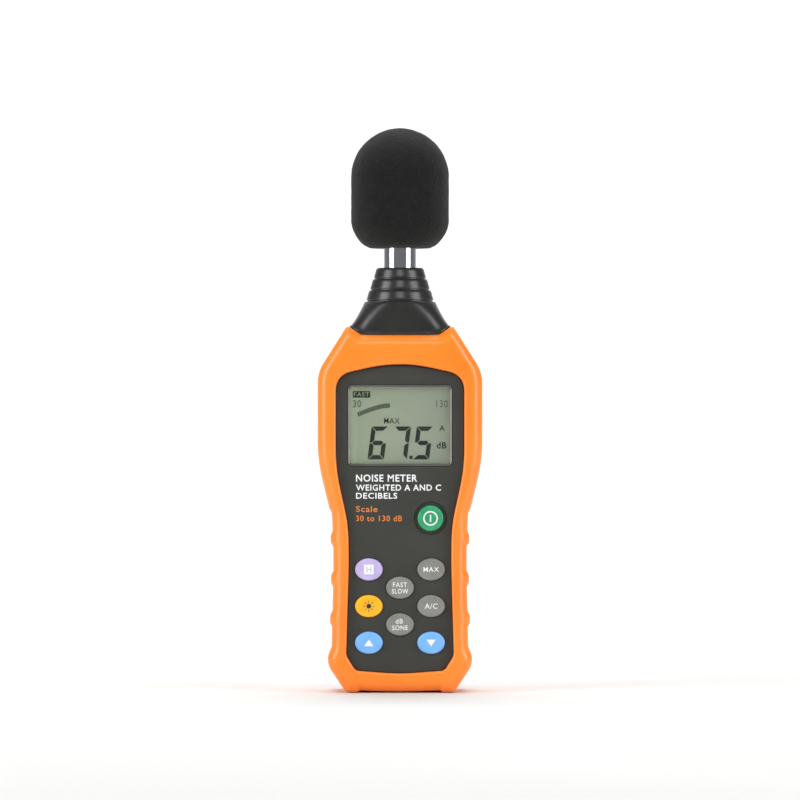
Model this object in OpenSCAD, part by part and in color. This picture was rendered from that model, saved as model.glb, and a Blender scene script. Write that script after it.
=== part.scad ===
// Handheld sound level meter.
// It stands upright on the two feet at the bottom of its body: +Z is up, the display faces -Y,
// and the Z axis is the axis of the microphone. All sizes are in millimetres.

/* [Body] */
// Height of the body, from its feet to the tips of its shoulders
body_h = 147; // [140:1:180]
// Width of the body at the display
body_w = 66; // [63:1:80]
// Width of the body at its waist, between the grip ribs
waist_w = 53.2; // [52:0.2:58]
// Width of the body at the flare above its feet
flare_w = 58; // [56:0.5:64]
// Height of the waist above the feet
waist_z = 53.6; // [50:0.1:56]
// Height at which the grip ends and the body starts to widen
grip_top_z = 69.6; // [68:0.2:71]
// Height of the grip ribs above the surface around them
rib_h = 0.9; // [0.4:0.1:1.4]
// Length of one grip rib
rib_l = 6; // [4:0.5:8]
// Distance from one grip rib to the next
rib_pitch = 16.1; // [15:0.1:17]
// Height of the lowest grip rib
rib_z = 29.4; // [28:0.1:31]
// Number of grip ribs on each side
rib_count = 3; // [1:1:3]
// Distance from the middle of the body to the outer edge of a foot
foot_x = 21.6; // [20:0.1:23]
// Width of a foot
foot_w = 4.4; // [3:0.1:6]
// Height of the feet below the bottom edge
foot_h = 0.8; // [0.5:0.1:1.5]

/* [Shells] */
// Thickness of the bumper around the sides of the case
bumper_t = 2.6; // [2:0.1:3]
// How far the crest of the bumper stands out from the panels
crest_h = 2.5; // [1.5:0.1:4]
// Depth of the front half, from the parting plane to the panel
front_depth = 15; // [14.5:0.1:18]
// Step from the panel down to the case under the bumper
panel_step = 1; // [0.6:0.1:1.6]
// Thickness of the panels
panel_t = 2.4; // [2:0.1:3]
// Thickness of the side walls of the case
case_wall = 2; // [1.5:0.1:2.2]
// Thickness of the step between a panel and the case
step_wall = 1.2; // [1:0.1:1.4]
// Visible gap between a panel and the bumper
panel_gap = 0.3; // [0.2:0.05:0.5]
// Clearance between the case and the bumper over it
shell_gap = 0.05; // [0.02:0.01:0.1]

/* [Display] */
// Width of the visible part of the display
view_w = 40.2; // [32:0.2:42]
// Height of the visible part of the display
view_h = 31.1; // [25:0.1:33]
// Distance from the shoulder tips down to the middle of the display
view_drop = 39.95; // [39:0.05:42]
// Width of the ledge that carries the lens, at the sides
lens_ledge_x = 1; // [0.8:0.1:1.3]
// Width of the ledge that carries the lens, at the top and bottom
lens_ledge_z = 0.8; // [0.6:0.1:1.2]
// Thickness of the lens
lens_t = 1.3; // [1:0.1:1.4]
// Depth of the lens below the panel
lens_sink = 0.3; // [0.1:0.1:0.5]
// Thickness of the gasket between the panel and the display glass
gasket_t = 0.5; // [0.3:0.1:0.6]
// Thickness of the display glass
glass_t = 1.8; // [1.5:0.1:2]
// Margin of the display glass around its visible part
glass_margin = 1.3; // [1.2:0.1:1.4]
// Thickness of the backlight panel
backlight_t = 3; // [2:0.1:3.4]

/* [Keys] */
// Width of an oval key
key_w = 11.05; // [9:0.05:11.4]
// Height of an oval key
key_h = 8.9; // [7:0.1:9.2]
// Diameter of the power key
power_d = 10.3; // [8:0.1:10.8]
// Diameter of the dish around the power key
dish_d = 13.6; // [12.4:0.1:14]
// Depth of the dish around the power key
dish_depth = 0.6; // [0.3:0.1:0.8]
// Distance of the outer key columns from the middle
key_x = 12.46; // [12.2:0.02:12.6]
// Height of the lowest row of keys
key_z = 20.1; // [19.5:0.1:21]
// Distance from one row of keys to the next
key_pitch = 7.33; // [7.1:0.01:7.4]
// Distance of the power key from the middle
power_x = 12.2; // [11.5:0.1:12.4]
// Height of the power key
power_z = 69.9; // [67:0.1:71]
// How far the keys stand out from the panel
key_proud = 1; // [0.6:0.1:1.6]
// Travel of the keys
key_travel = 1; // [0.6:0.1:1.1]
// Clearance between a key and its hole
key_gap = 0.2; // [0.15:0.01:0.3]
// Width of the lip that holds a key behind the panel
key_lip = 0.5; // [0.4:0.05:0.55]

/* [Neck] */
// Width of the neck boot at its lower rim
boot_w = 40.8; // [36:0.2:42]
// Depth of the neck boot at its lower rim
boot_d = 28; // [26:0.5:30]
// Drop of the boot's lower edge in the middle, below the shoulder tips
boot_drop = 3.5; // [3:0.1:4]
// Height of the boot's slope, from its rim to the first ring
slope_h = 10; // [8:0.5:12]
// Diameter of the boot at the top of its slope
slope_top_d = 28.6; // [27.5:0.1:30]
// Height of one ring of the boot
ring_h = 4.45; // [3.5:0.05:5]
// Number of rings on the boot
ring_count = 3; // [2:1:4]
// Diameter of the lowest ring at its lower edge
ring_d = 27; // [26:0.1:28]
// How much each ring is narrower than the ring below it
ring_step = 3; // [2:0.1:3.2]
// How much a ring narrows towards its top
ring_taper = 2.4; // [1.5:0.1:2.6]

/* [Microphone] */
// Outer diameter of the microphone tube
tube_d = 13.2; // [10:0.1:16]
// Wall of the microphone tube
tube_wall = 0.8; // [0.6:0.1:1]
// Length of the microphone capsule above the tube
capsule_l = 7; // [6:0.5:9]
// Length of the protection grid
grid_l = 6; // [5:0.5:8]
// Visible length of the tube, between the boot and the windscreen
neck_l = 7.7; // [5:0.1:12]
// Clearance between the tube and what it passes through
tube_gap = 0.1; // [0.05:0.01:0.2]

/* [Windscreen] */
// Diameter of the foam windscreen
foam_d = 39.6; // [36:0.2:46]
// Height of the foam windscreen
foam_h = 48.4; // [46:0.2:56]
// Diameter of its flat bottom
foam_base_d = 24.4; // [20:0.2:28]
// Height of its rounded lower edge
foam_edge_h = 10.6; // [8:0.2:14]
// Room in the windscreen above the microphone
foam_tip_gap = 1; // [0.4:0.1:4]
// Radial clearance between the bore and the microphone
foam_gap = 0.3; // [0.3:0.05:0.5]

/* [Batteries] */
// Diameter of a cell
cell_d = 10.5; // [8:0.1:12.8]
// Length of a cell with its nub
cell_l = 44.5; // [36:0.5:46]
// Gap between two cells
cell_gap = 0.3; // [0.2:0.05:0.5]
// Length of a contact spring in use
spring_l = 4.7; // [4:0.1:6]
// Thickness of the contact plates
contact_t = 0.4; // [0.3:0.05:0.6]
// Thickness of the battery cover
cover_t = 2; // [1.6:0.1:2.2]
// Gap around the battery cover
cover_gap = 0.3; // [0.2:0.05:0.5]
// Height of the lower end of the battery bay
bay_z = 22; // [21:0.1:24]
// Wall of the battery bay
bay_wall = 1.4; // [1.2:0.1:1.6]

/* [Board] */
// Thickness of the main board
board_t = 1.6; // [1:0.1:1.6]
// Depth of the front of the board behind the parting plane's front
board_y = 6.4; // [6.2:0.1:6.8]
// Width of the board between the grips
board_low_w = 39.4; // [36:0.2:40]
// Width of the board behind the display
board_top_w = 48; // [46:0.2:49]

/* [Fasteners] */
// Thread diameter of the case screws
case_screw_d = 2.5; // [2:0.1:3]
// Diameter of the case screws' heads
case_head_d = 4.8; // [4:0.1:5.4]
// Thread diameter of the board screws
board_screw_d = 2; // [1.6:0.1:2.4]
// Diameter of the board screws' heads
board_head_d = 3.6; // [3:0.1:3.8]
// Thread diameter of the screw in the battery cover
cover_screw_d = 2.5; // [2:0.1:3]
// Diameter of the head of the screw in the battery cover
cover_head_d = 5; // [4.4:0.1:5.6]
// Tapping diameter of the 1/4 inch tripod thread
tripod_bore_d = 5.1; // [4.8:0.1:5.4]
// Depth of the tripod thread
tripod_bore_l = 7.5; // [6:0.1:8]
// Diameter of the tripod insert
tripod_d = 10; // [9:0.1:12]
// Distance from the shoulder tips down to the tripod thread
tripod_drop = 43; // [38:0.5:45]

/* [Hidden] */
$fn = 48;
e = 0.01;                 // overlap of a cut with the face that it opens

// Rounding of outlines
corner_steps = 3;
least_ease = 0.1;

// Levels along Y: the front half is negative, the parting plane is at 0
case_front = front_depth - panel_step;
crest_front = front_depth + crest_h;
panel_in = front_depth - panel_t;
case_in = case_front - 2.2;
board_front = -board_y;
board_back = -board_y + board_t;

// Battery bay, from its floor out to the cover
bay_floor = 0.6;
cell_clear = 0.15;
cover_clear = 0.35;
cell_y = bay_floor + bay_wall + cell_clear + cell_d / 2;
cover_in = cell_y + cell_d / 2 + cover_clear;
rear_depth = cover_in + cover_t;
case_rear = rear_depth - panel_step;
crest_rear = rear_depth + crest_h;
// cells in the bay, each a node of its own
cell_count = 3;
cell_pitch = cell_d + cell_gap;
bay_w = (cell_count - 1) * cell_pitch + cell_d + 2 * cell_gap + 0.1;
bay_l = cell_l + spring_l + 2 * contact_t;
bay_top = bay_z + bay_l;

// Cover of the bay, with room for its screw above the cells
cover_lap = 1.3;
cover_w = bay_w + 2 * cover_lap;
cover_z0 = bay_z - 1.8;
cover_screw_z = bay_top + 4.5;
cover_z1 = cover_screw_z + 4;

// Body outline, driven by the sizes above; ease is the length of a side that a rounding takes
body_in = bumper_t + shell_gap;
seat_z = body_h - boot_drop;
seat_x = boot_w / 2 - 4.8;
tip_x = boot_w / 2 + 0.8;
shoulder_z = body_h - 18.6;
display_low_z = body_h - 54;
flare_z = 14.5;
belly_z = 0.3;
ledge_z = grip_top_z + 2.8;
ledge_h = 0.5;

// Display
view_z = body_h - view_drop;
lens_w = view_w + 2 * lens_ledge_x;
lens_h = view_h + 2 * lens_ledge_z;
lens_ease = 2.2;
lens_back = front_depth - lens_sink - lens_t;
glass_front = panel_in - gasket_t;
glass_back = glass_front - glass_t;
glass_w = view_w + 2 * glass_margin;
glass_h = view_h + 2 * glass_margin;
frame_front = case_in - 0.1;
frame_wall = 1.9;
strip_w = 1.9;
strip_gap = 0.15;
strip_z = glass_h / 2 - 1.2 - strip_w / 2;
strip_l = view_w - 2.6;
lamp_h = view_h - 6.5;
fit = 0.1;                // clearance of parts that are laid into pockets

// Neck
rim_z = body_h - 0.1;
slope_top = rim_z + slope_h;
boot_top = slope_top + 0.45 + ring_count * ring_h;
stem_d = 19;
stem_gap = 0.1;
seal_w = 1.6;
seal_z = boot_top - 3;

// Microphone
tube_low = body_h - 15.5;
foam_z = boot_top + neck_l;
capsule_z = foam_z + 11.6;
grid_z = capsule_z + capsule_l;
mic_top = grid_z + grid_l;
tube_r = tube_d / 2;
tube_in = tube_r - tube_wall;

// Fastener places, as [x, z]
top_screw = [18.5, body_h - 13.5];
low_screw = [13, 9.4];
case_screw_places = [for (s = [-1, 1], p = [low_screw, top_screw]) [s * p[0], p[1]]];
boss_r = 3.2;
head_floor = 8;
head_t = 1.8;
screw_gap = 0.05;
board_top = body_h - 20;
board_low = 19.4;
board_step = display_low_z - 9;
board_screw_places = [for (s = [-1, 1]) each [[s * 17.3, 42.1], [s * 21.8, display_low_z - 6.8]]];
standoff_r = 1.9;
tripod_z = body_h - tripod_drop;

// Keys: [column, row] counted from the lowest row
key_ease = 0.35;
key_tip = front_depth + key_proud;
key_back = panel_in - 1.3;
mat_t = 1;
mat_front = board_y + mat_t;
dome_h = 1.7;
stem_end = mat_front + dome_h + key_travel + 0.3;
up_place = [-1, 0];
down_place = [1, 0];
unit_place = [0, 1];
backlight_place = [-1, 2];
weighting_place = [1, 2];
response_place = [0, 3];
hold_place = [-1, 4];
max_place = [1, 4];
oval_places = [up_place, down_place, unit_place, backlight_place, weighting_place, response_place,
    hold_place, max_place];
function key_at(place) = [place[0] * key_x, key_z + place[1] * key_pitch];
power_at = [power_x, power_z];
all_key_places = concat([for (p = oval_places) key_at(p)], [power_at]);

// Wires
wire_r = 0.6;
wire_sides = 8;

// ---- Outlines in the XZ plane, counter-clockwise, as corners [x, z, ease]

function flat(p) = [p[0], p[1]];
function around(list, i) = list[(i + len(list)) % len(list)];
function unit(v) = v / norm(v);
function outward(a, b) = let (u = unit(b - a)) [u[1], -u[0]];

// Corner i moved inwards by d, with the rounding that a parallel outline has
function inset_corner(c, i, d) =
    let (p = flat(c[i]),
         n1 = outward(flat(around(c, i - 1)), p),
         n2 = outward(p, flat(around(c, i + 1))),
         q = p - d * (n1 + n2) / (1 + n1 * n2),
         half_turn = cross(n1, n2) / (1 + n1 * n2))
    [q[0], q[1], c[i][2] == 0 ? 0 : max(c[i][2] - d * half_turn, least_ease)];
function inset(c, d) = [for (i = [0:len(c) - 1]) inset_corner(c, i, d)];

// Rounding of corner p between its neighbours a and b
function rounded_corner(a, p, b, ease) =
    ease == 0 ? [p] :
    let (s = p + ease * unit(a - p), f = p + ease * unit(b - p))
    [for (k = [0:corner_steps]) let (t = k / corner_steps)
        (1 - t) * (1 - t) * s + 2 * t * (1 - t) * p + t * t * f];
function outline(c) = [for (i = [0:len(c) - 1])
    each rounded_corner(flat(around(c, i - 1)), flat(c[i]), flat(around(c, i + 1)), c[i][2])];

// Closes a right half with its mirror image; the middle corners are given apart
function closed(bottom, half, top) = concat(bottom, half, top,
    [for (i = [len(half) - 1:-1:0]) [-half[i][0], half[i][1], half[i][2]]]);

function box_corners(w, h, ease) =
    [[-w / 2, -h / 2, ease], [w / 2, -h / 2, ease], [w / 2, h / 2, ease], [-w / 2, h / 2, ease]];

// Half width of the grip at height z, without its ribs
flare_x = flare_w / 2 - 1.5;
grip_top_x = waist_w / 2 + 0.6;
function grip_x(z) = z < waist_z
    ? flare_x + (waist_w / 2 - flare_x) * (z - flare_z) / (waist_z - flare_z)
    : waist_w / 2 + (grip_top_x - waist_w / 2) * (z - waist_z) / (grip_top_z - waist_z);
rib_ramp = 1.4;
function rib(z) = [
    [grip_x(z - rib_l / 2), z - rib_l / 2, 0],
    [grip_x(z) + rib_h, z - rib_l / 2 + rib_ramp, 0],
    [grip_x(z) + rib_h, z + rib_l / 2 - rib_ramp, 0],
    [grip_x(z + rib_l / 2), z + rib_l / 2, 0]
];

body_half = concat(
    [[foot_x - foot_w - 1.2, foot_h, 0],
     [foot_x - foot_w, 0, 0],
     [foot_x, 0, 0.8],
     [flare_w / 2 - 0.3, 10.6, 1.6],
     [flare_w / 2, flare_z, 0.8],
     [grip_x(flare_z + 3.5), flare_z + 3.5, 0]],
    [for (i = [0:rib_count - 1]) each rib(rib_z + i * rib_pitch)],
    [[grip_top_x, grip_top_z, 0],
     [grip_top_x + 0.3, ledge_z, 0],
     [grip_top_x + 0.6 + ledge_h, ledge_z + 1.2, 0],
     [body_w / 2, display_low_z, 7],
     [body_w / 2, shoulder_z, 4.5],
     [tip_x, body_h, 1],
     [seat_x, seat_z, 0]]);
body_corners = closed([[0, belly_z, 12]], body_half, []);
function body_outline(d) = outline(inset(body_corners, d));

// Opening of the bumper around a panel whose lower edge is at height z
function window_corners(z) = closed(
    [[0, z - 0.2, 8]],
    [[17.8, z + 1.2, 1.6],
     [21.5, z + 7.2, 1.4],
     [waist_w / 2 - 6.2, waist_z, 6],
     [waist_w / 2 - 5.9, grip_top_z - 2.4, 4],
     [body_w / 2 - 7.3, display_low_z - 3, 6],
     [body_w / 2 - 7.3, body_h - 19.8, 6.5]],
    [[0, body_h - 14.1, 15]]);
front_window_z = 7.8;
rear_window_z = 15.5;
function window_outline(z, d) = outline(inset(window_corners(z), d));

// ---- Helpers that build along Y

// A flat shape in XZ, made solid from y0 to y1
module slab(y0, y1) {
    translate([0, y1, 0]) rotate([90, 0, 0]) linear_extrude(y1 - y0) children();
}

// A round bar along Y at [x, z], from y0 to y1
module bar(at, y0, y1, r) {
    translate([at[0], y1, at[1]]) rotate([90, 0, 0]) cylinder(h = y1 - y0, r = r);
}

// A block given by its middle [x, z] and size [w, h], from y0 to y1
module block(at, size, y0, y1) {
    translate([at[0] - size[0] / 2, y0, at[1] - size[1] / 2]) cube([size[0], y1 - y0, size[1]]);
}

// A plate with rounded corners, as block
module plate(at, size, y0, y1, ease) {
    slab(y0, y1) translate(at) polygon(outline(box_corners(size[0], size[1], ease)));
}

// An oval bar along Y with the half axes a and b
module oval(at, y0, y1, a, b) {
    slab(y0, y1) translate(at) polygon([for (t = [0:10:350]) [a * cos(t), b * sin(t)]]);
}

// A tube of round section along the points of a path; its rings keep clear of the direction ref
module sweep(path, r, sides, ref) {
    n = len(path);
    points = [for (i = [0:n - 1])
        let (t = unit(path[min(i + 1, n - 1)] - path[max(i - 1, 0)]),
             u = unit(cross(t, ref)),
             v = cross(u, t))
        for (k = [0:sides - 1]) let (a = 360 * k / sides) path[i] + r * (cos(a) * u + sin(a) * v)];
    walls = [for (i = [0:n - 2], k = [0:sides - 1])
        let (a = i * sides + k, b = i * sides + (k + 1) % sides)
        each [[a, b, a + sides], [b, b + sides, a + sides]]];
    ends = [[for (k = [sides - 1:-1:0]) k], [for (k = [0:sides - 1]) (n - 1) * sides + k]];
    polyhedron(points, concat(walls, ends));
}

// ---- Shells

// Outer form of one half of the bumper; each step is [level below the crest, inset of its outline]
edge_steps = [[5.3, 0], [3.2, 0.5], [1.6, 1.4], [0.6, 2.6], [0, 4.2]];
module bumper_blank(crest) {
    for (i = [0:len(edge_steps) - 1])
        slab(i == 0 ? 0 : crest - edge_steps[i - 1][0] - e, crest - edge_steps[i][0])
            polygon(body_outline(edge_steps[i][1]));
}

module bumper_half(crest, case_y, window_z) {
    difference() {
        bumper_blank(crest);
        slab(-e, case_y + shell_gap) polygon(body_outline(bumper_t));
        slab(0, crest + 1) polygon(window_outline(window_z, 0));
        translate([0, 0, seat_z - bumper_t - 2]) cylinder(h = bumper_t + 6, d = stem_d + 2 * stem_gap);
    }
}

module front_bumper() {
    color("darkorange") mirror([0, 1, 0]) bumper_half(crest_front, case_front, front_window_z);
}

module rear_bumper() {
    color("darkorange") difference() {
        bumper_half(crest_rear, case_rear, rear_window_z);
        for (p = case_screw_places) bar(p, case_rear - 1, crest_rear + 1, case_head_d / 2 + 0.5);
    }
}

// Hollow half shell with a raised panel, facing +Y
module shell_half(panel_y, case_y, window_z) {
    difference() {
        union() {
            slab(0, case_y) polygon(body_outline(body_in));
            slab(case_y - e, panel_y) polygon(window_outline(window_z, panel_gap));
        }
        slab(-1, case_y - 2.2) polygon(body_outline(body_in + case_wall));
        slab(0, panel_y - panel_t) polygon(window_outline(window_z, panel_gap + step_wall));
    }
}

// Hole for the microphone tube through the top wall of the case
module tube_hole() {
    translate([0, 0, tube_low]) cylinder(h = seat_z - tube_low + 1, r = tube_r + tube_gap);
}

module front_case() {
    color("#34352f") difference() {
        union() {
            mirror([0, 1, 0]) shell_half(front_depth, case_front, front_window_z);
            for (p = case_screw_places) bar(p, -panel_in - 0.5, 0, boss_r);
            for (p = board_screw_places) bar(p, -panel_in - 0.5, board_front, standoff_r);
        }
        plate([0, view_z], [lens_w + 2 * fit, lens_h + 2 * fit], -front_depth - 1, -lens_back, lens_ease);
        plate([0, view_z], [view_w, view_h], -front_depth - 1, 0, lens_ease - 0.4);
        for (p = oval_places)
            oval(key_at(p), -front_depth - 1, 0, key_w / 2 + key_gap, key_h / 2 + key_gap);
        bar(power_at, -front_depth - 1, 0, power_d / 2 + key_gap);
        translate([power_x, dish_depth - front_depth, power_z]) rotate([90, 0, 0])
            cylinder(h = dish_depth + e, d1 = power_d + 2, d2 = dish_d);
        for (p = case_screw_places) bar(p, -9.5, 1, case_screw_d / 2 + screw_gap);
        for (p = board_screw_places) bar(p, -case_in + 1, 0, board_screw_d / 2 + screw_gap);
        tube_hole();
    }
}

module rear_case() {
    color("#2e2f2b") difference() {
        union() {
            shell_half(rear_depth, case_rear, rear_window_z);
            for (p = case_screw_places) bar(p, 0, case_rear - 1, boss_r);
            block([0, bay_z + bay_l / 2], [bay_w + 2 * bay_wall, bay_l + 2 * bay_wall], bay_floor, cover_in);
            bar([0, cover_screw_z], cover_in - 6.5, cover_in, 3.6);
            bar([0, tripod_z], rear_depth - 10.4, rear_depth - 1, tripod_d / 2 + 2);
        }
        block([0, bay_z + bay_l / 2], [bay_w, bay_l], bay_floor + bay_wall, rear_depth + 1);
        plate([0, (cover_z0 + cover_z1) / 2],
            [cover_w + 2 * cover_gap, cover_z1 - cover_z0 + 2 * cover_gap], cover_in, rear_depth + 1, 3);
        bar([0, cover_screw_z], cover_in - 5.4, cover_in + 1, 2.3);
        bar([0, tripod_z], rear_depth - tripod_bore_l - 1.2, rear_depth + 1, tripod_d / 2 + fit);
        for (p = case_screw_places) {
            bar(p, -1, case_rear + 1, case_screw_d / 2 + 0.15);
            bar(p, head_floor, case_rear + 1, case_head_d / 2 + 0.2);
        }
        for (s = [-1, 1]) lead_slot(s);
        tube_hole();
    }
}

// ---- Neck

module neck_boot() {
    ring_profile = [for (i = [0:ring_count - 1])
        let (r = ring_d / 2 - i * ring_step / 2, z = slope_top + 0.45 + i * ring_h)
        each [[r, z + 0.45], [r - ring_taper / 2 + 0.6, z + ring_h - 0.6],
              [r - ring_taper / 2 - (i == ring_count - 1 ? 0.3 : 0), z + ring_h]]];
    color("#2b2c29") difference() {
        union() {
            translate([0, 0, seat_z - body_in]) cylinder(h = body_in + 1, d = stem_d);
            intersection() {
                slab(-boot_d, boot_d) polygon([[-boot_w / 2, rim_z + e], [-seat_x, seat_z],
                    [seat_x, seat_z], [boot_w / 2, rim_z + e]]);
                translate([0, 0, seat_z]) linear_extrude(boot_drop)
                    polygon(outline(box_corners(boot_w, boot_d, 9)));
            }
            hull() {
                translate([0, 0, rim_z]) linear_extrude(0.1)
                    polygon(outline(box_corners(boot_w, boot_d, 9)));
                translate([0, 0, slope_top - 0.1]) linear_extrude(0.1) circle(d = slope_top_d, $fn = 40);
            }
            rotate_extrude() polygon(concat([[0, slope_top - 1], [ring_d / 2 - 0.2, slope_top - 1],
                [ring_d / 2 - 0.2, slope_top + 0.45]], ring_profile, [[0, boot_top]]));
        }
        translate([0, 0, seat_z - 10]) cylinder(h = boot_top, r = tube_r + tube_gap);
        translate([0, 0, seal_z - seal_w / 2]) cylinder(h = seal_w, r = tube_r + seal_w);
    }
}

module tube_seal() {
    color("black") rotate_extrude() translate([tube_r + seal_w / 2, seal_z]) circle(d = seal_w - 0.04);
}

module tube_nut() {
    nut_z = seat_z - body_in - case_wall - 4.4;
    color("#8f9088") translate([0, 0, nut_z]) difference() {
        cylinder(h = 4.2, r = tube_r + 3.4, $fn = 6);
        translate([0, 0, -1]) cylinder(h = 7, r = tube_r + 0.02);
    }
}

// ---- Display

module display_lens() {
    color("#c9d3c4") plate([0, view_z], [lens_w, lens_h], -lens_back - lens_t, -lens_back, lens_ease);
}

module display_gasket() {
    color("#202020") difference() {
        block([0, view_z], [glass_w, glass_h], -panel_in, -glass_front);
        block([0, view_z], [view_w + 0.6, view_h + 0.6], -panel_in - 1, 0);
    }
}

module display_glass() {
    color("#88947a") block([0, view_z], [glass_w, glass_h], -glass_front, -glass_back);
}

module display_frame() {
    color("#d8d8d0") difference() {
        block([0, view_z], [glass_w + 2 * frame_wall, glass_h + 2 * frame_wall],
            -frame_front, board_front);
        block([0, view_z], [glass_w + 2 * fit, glass_h + 2 * fit], -frame_front - 1, -glass_back);
        block([0, view_z], [view_w + 2 * fit, lamp_h + 2 * fit], -frame_front - 1, 0);
        for (s = [-1, 1]) block([0, view_z + s * strip_z],
            [strip_l + 2 * strip_gap, strip_w + 2 * strip_gap], -frame_front - 1, 0);
    }
}

module backlight_panel() {
    color("#f2f2e8") block([0, view_z], [view_w, lamp_h], -glass_back + fit, -glass_back + fit + backlight_t);
}

module backlight_lamps() {
    color("#e8f0d8") for (s = [-1, 1]) block([s * view_w / 3, view_z],
        [3, 2], board_front - 0.6, board_front);
}

module contact_strips() {
    color("#b03a3a") for (s = [-1, 1])
        block([0, view_z + s * strip_z], [strip_l, strip_w], -glass_back, board_front);
}

// ---- Main board and what is on it

module main_board() {
    color("#1f6b3a") difference() {
        union() {
            block([0, (board_low + board_step) / 2], [board_low_w, board_step - board_low + e],
                board_front, board_back);
            block([0, (board_step + board_top) / 2], [board_top_w, board_top - board_step],
                board_front, board_back);
        }
        for (p = board_screw_places) bar(p, board_front - 1, board_back + 1, board_screw_d / 2 + 0.15);
    }
}

// A flat chip with its legs along two sides, on the back of the board
module chip(at, size, t, legs) {
    leg = 0.5;
    gap = size[0] / legs;
    block(at, size, board_back + 0.2, board_back + 0.2 + t);
    for (s = [-1, 1], i = [0:legs - 1])
        block([at[0] + (i - (legs - 1) / 2) * gap, at[1] + s * (size[1] / 2 + 0.4)], [leg, 1.2],
            board_back, board_back + 0.5);
}

module processor_chip() {
    color("#1c1c1e") chip([0, view_z + 2], [14, 14], 1.4, 12);
}

module converter_chip() {
    color("#232325") chip([-12, view_z - 19], [7.5, 5.3], 1.5, 7);
}

module amplifier_chips() {
    color("#202022") for (i = [0:1]) chip([-14 + 7.5 * i, board_top - 6.5], [5, 4], 1.4, 4);
}

module regulator_chip() {
    color("#202022") chip([12, view_z - 19], [6.5, 3.6], 1.6, 3);
}

module quartz_crystal() {
    color("silver") hull() for (s = [-1, 1])
        translate([13.5 + s * 3.4, board_back, view_z + 6]) rotate([-90, 0, 0]) cylinder(h = 3.4, d = 4, $fn = 24);
}

module filter_capacitors() {
    color("#3b4a7a") for (p = [[-16, view_z + 6], [-16, view_z - 3], [16, view_z - 4]])
        bar(p, board_back, board_back + 6.4, 3);
}

module chip_resistors() {
    color("#2a2a2a") for (i = [0:5], j = [0:1])
        block([-10 + 4 * i, view_z - 12.5 + 2.6 * j], [2, 1.2], board_back, board_back + 0.6);
}

module level_trimmer() {
    at = [12, board_top - 7];
    color("#2f62c0") difference() {
        block(at, [6.5, 6.5], board_back, board_back + 4);
        bar(at, board_back + 3, board_back + 5, 1.6);
    }
}

module key_mat() {
    color("#8d8f92") difference() {
        union() {
            block([0, (board_low + power_z + 7) / 2], [board_low_w - 1, power_z + 7 - board_low],
                -mat_front, board_front);
            for (p = all_key_places) translate([p[0], -mat_front + e, p[1]]) rotate([90, 0, 0])
                cylinder(h = dome_h, r1 = 3.4, r2 = 2.4);
        }
        for (p = all_key_places) bar(p, -mat_front - dome_h + 0.6, 0, 2);
        for (p = board_screw_places) bar(p, -mat_front - 1, 0, standoff_r + 0.2);
    }
}

module key_contacts() {
    color("#3a3a3a") for (p = all_key_places)
        bar(p, -mat_front - dome_h + 0.6, -mat_front - dome_h + 1.2, 1.5);
}

// ---- Microphone

module ring(z0, z1, r0, r1) {
    translate([0, 0, z0]) difference() {
        cylinder(h = z1 - z0, r = r1);
        translate([0, 0, -1]) cylinder(h = z1 - z0 + 2, r = r0);
    }
}

module mic_tube() {
    color("#d9dcdd") ring(tube_low, capsule_z, tube_in, tube_r);
}

module mic_capsule() {
    color("#c4c7c8") union() {
        ring(capsule_z, grid_z, tube_in - 0.2, tube_r);
        ring(capsule_z - 5, capsule_z + e, tube_in - 1, tube_in - 0.05);
    }
}

module mic_grid() {
    color("#b8bbbc") difference() {
        translate([0, 0, grid_z]) cylinder(h = grid_l, r = tube_r);
        translate([0, 0, grid_z - 1]) cylinder(h = grid_l, r = tube_in - 0.2);
        for (a = [0:45:315]) rotate([0, 0, a]) translate([2, -0.4, grid_z + 2.6]) cube([tube_r, 0.8, grid_l]);
    }
}

module mic_diaphragm() {
    color("gold") translate([0, 0, grid_z - 0.6]) cylinder(h = 0.3, r = tube_in - 0.25);
}

module mic_backplate() {
    color("#c9a24a") translate([0, 0, grid_z - 2.4]) difference() {
        cylinder(h = 1.5, r = tube_in - 1.2);
        for (a = [0:60:300]) rotate([0, 0, a]) translate([tube_in / 2, 0, -1]) cylinder(h = 4, r = 0.5);
    }
}

module mic_insulator() {
    color("#ececec") ring(grid_z - 4.4, grid_z - 2.4, 0.65, tube_in - 0.25);
}

module mic_pin() {
    color("gold") translate([0, 0, capsule_z - 6]) cylinder(h = grid_z - 2.4 - capsule_z + 6, r = 0.6);
}

preamp_low = seat_z - 1.5;
preamp_top = capsule_z - 8;
module preamp_board() {
    color("#1f6b3a") translate([1.2 - tube_in, -0.5, preamp_low])
        cube([2 * (tube_in - 1.2), 1, preamp_top - preamp_low]);
}

module preamp_parts() {
    color("#232325") for (i = [0:3])
        translate([-1.6, 0.5, preamp_low + 8 + 7 * i]) cube([3.2, 1.2, 4]);
}

// Two screened leads from the preamplifier down to the main board
module mic_leads() {
    plug_z = board_top - 1.2;
    color("#b8372c") for (s = [-1, 1]) sweep([
        [1.2 * s, -1.4, preamp_low + 3],
        [1.2 * s, -1.5, preamp_low - 3],
        [1.3 * s, -1.4, preamp_low - 8],
        [1.7 * s, -0.8, tube_low - 1],
        [2.2 * s, -0.4, tube_low - 4],
        [2.6 * s, -1.2, plug_z - 1.2],
        [2.7 * s, -2.8, plug_z - 2.8],
        [2.7 * s, board_back, plug_z - 2.8]
    ], wire_r, wire_sides, [1, 0, 0]);
}

// ---- Fasteners

// A cross-head screw along Y: its head sits on the level y, its shank runs to the level tip
module screw(at, y, tip, d, head_d, t) {
    difference() {
        union() {
            bar(at, y, y + t, head_d / 2);
            bar(at, tip, y + e, d / 2);
        }
        for (size = [[head_d * 0.6, head_d * 0.16], [head_d * 0.16, head_d * 0.6]])
            block(at, size, y + t * 0.4, y + t + 1);
    }
}

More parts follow.
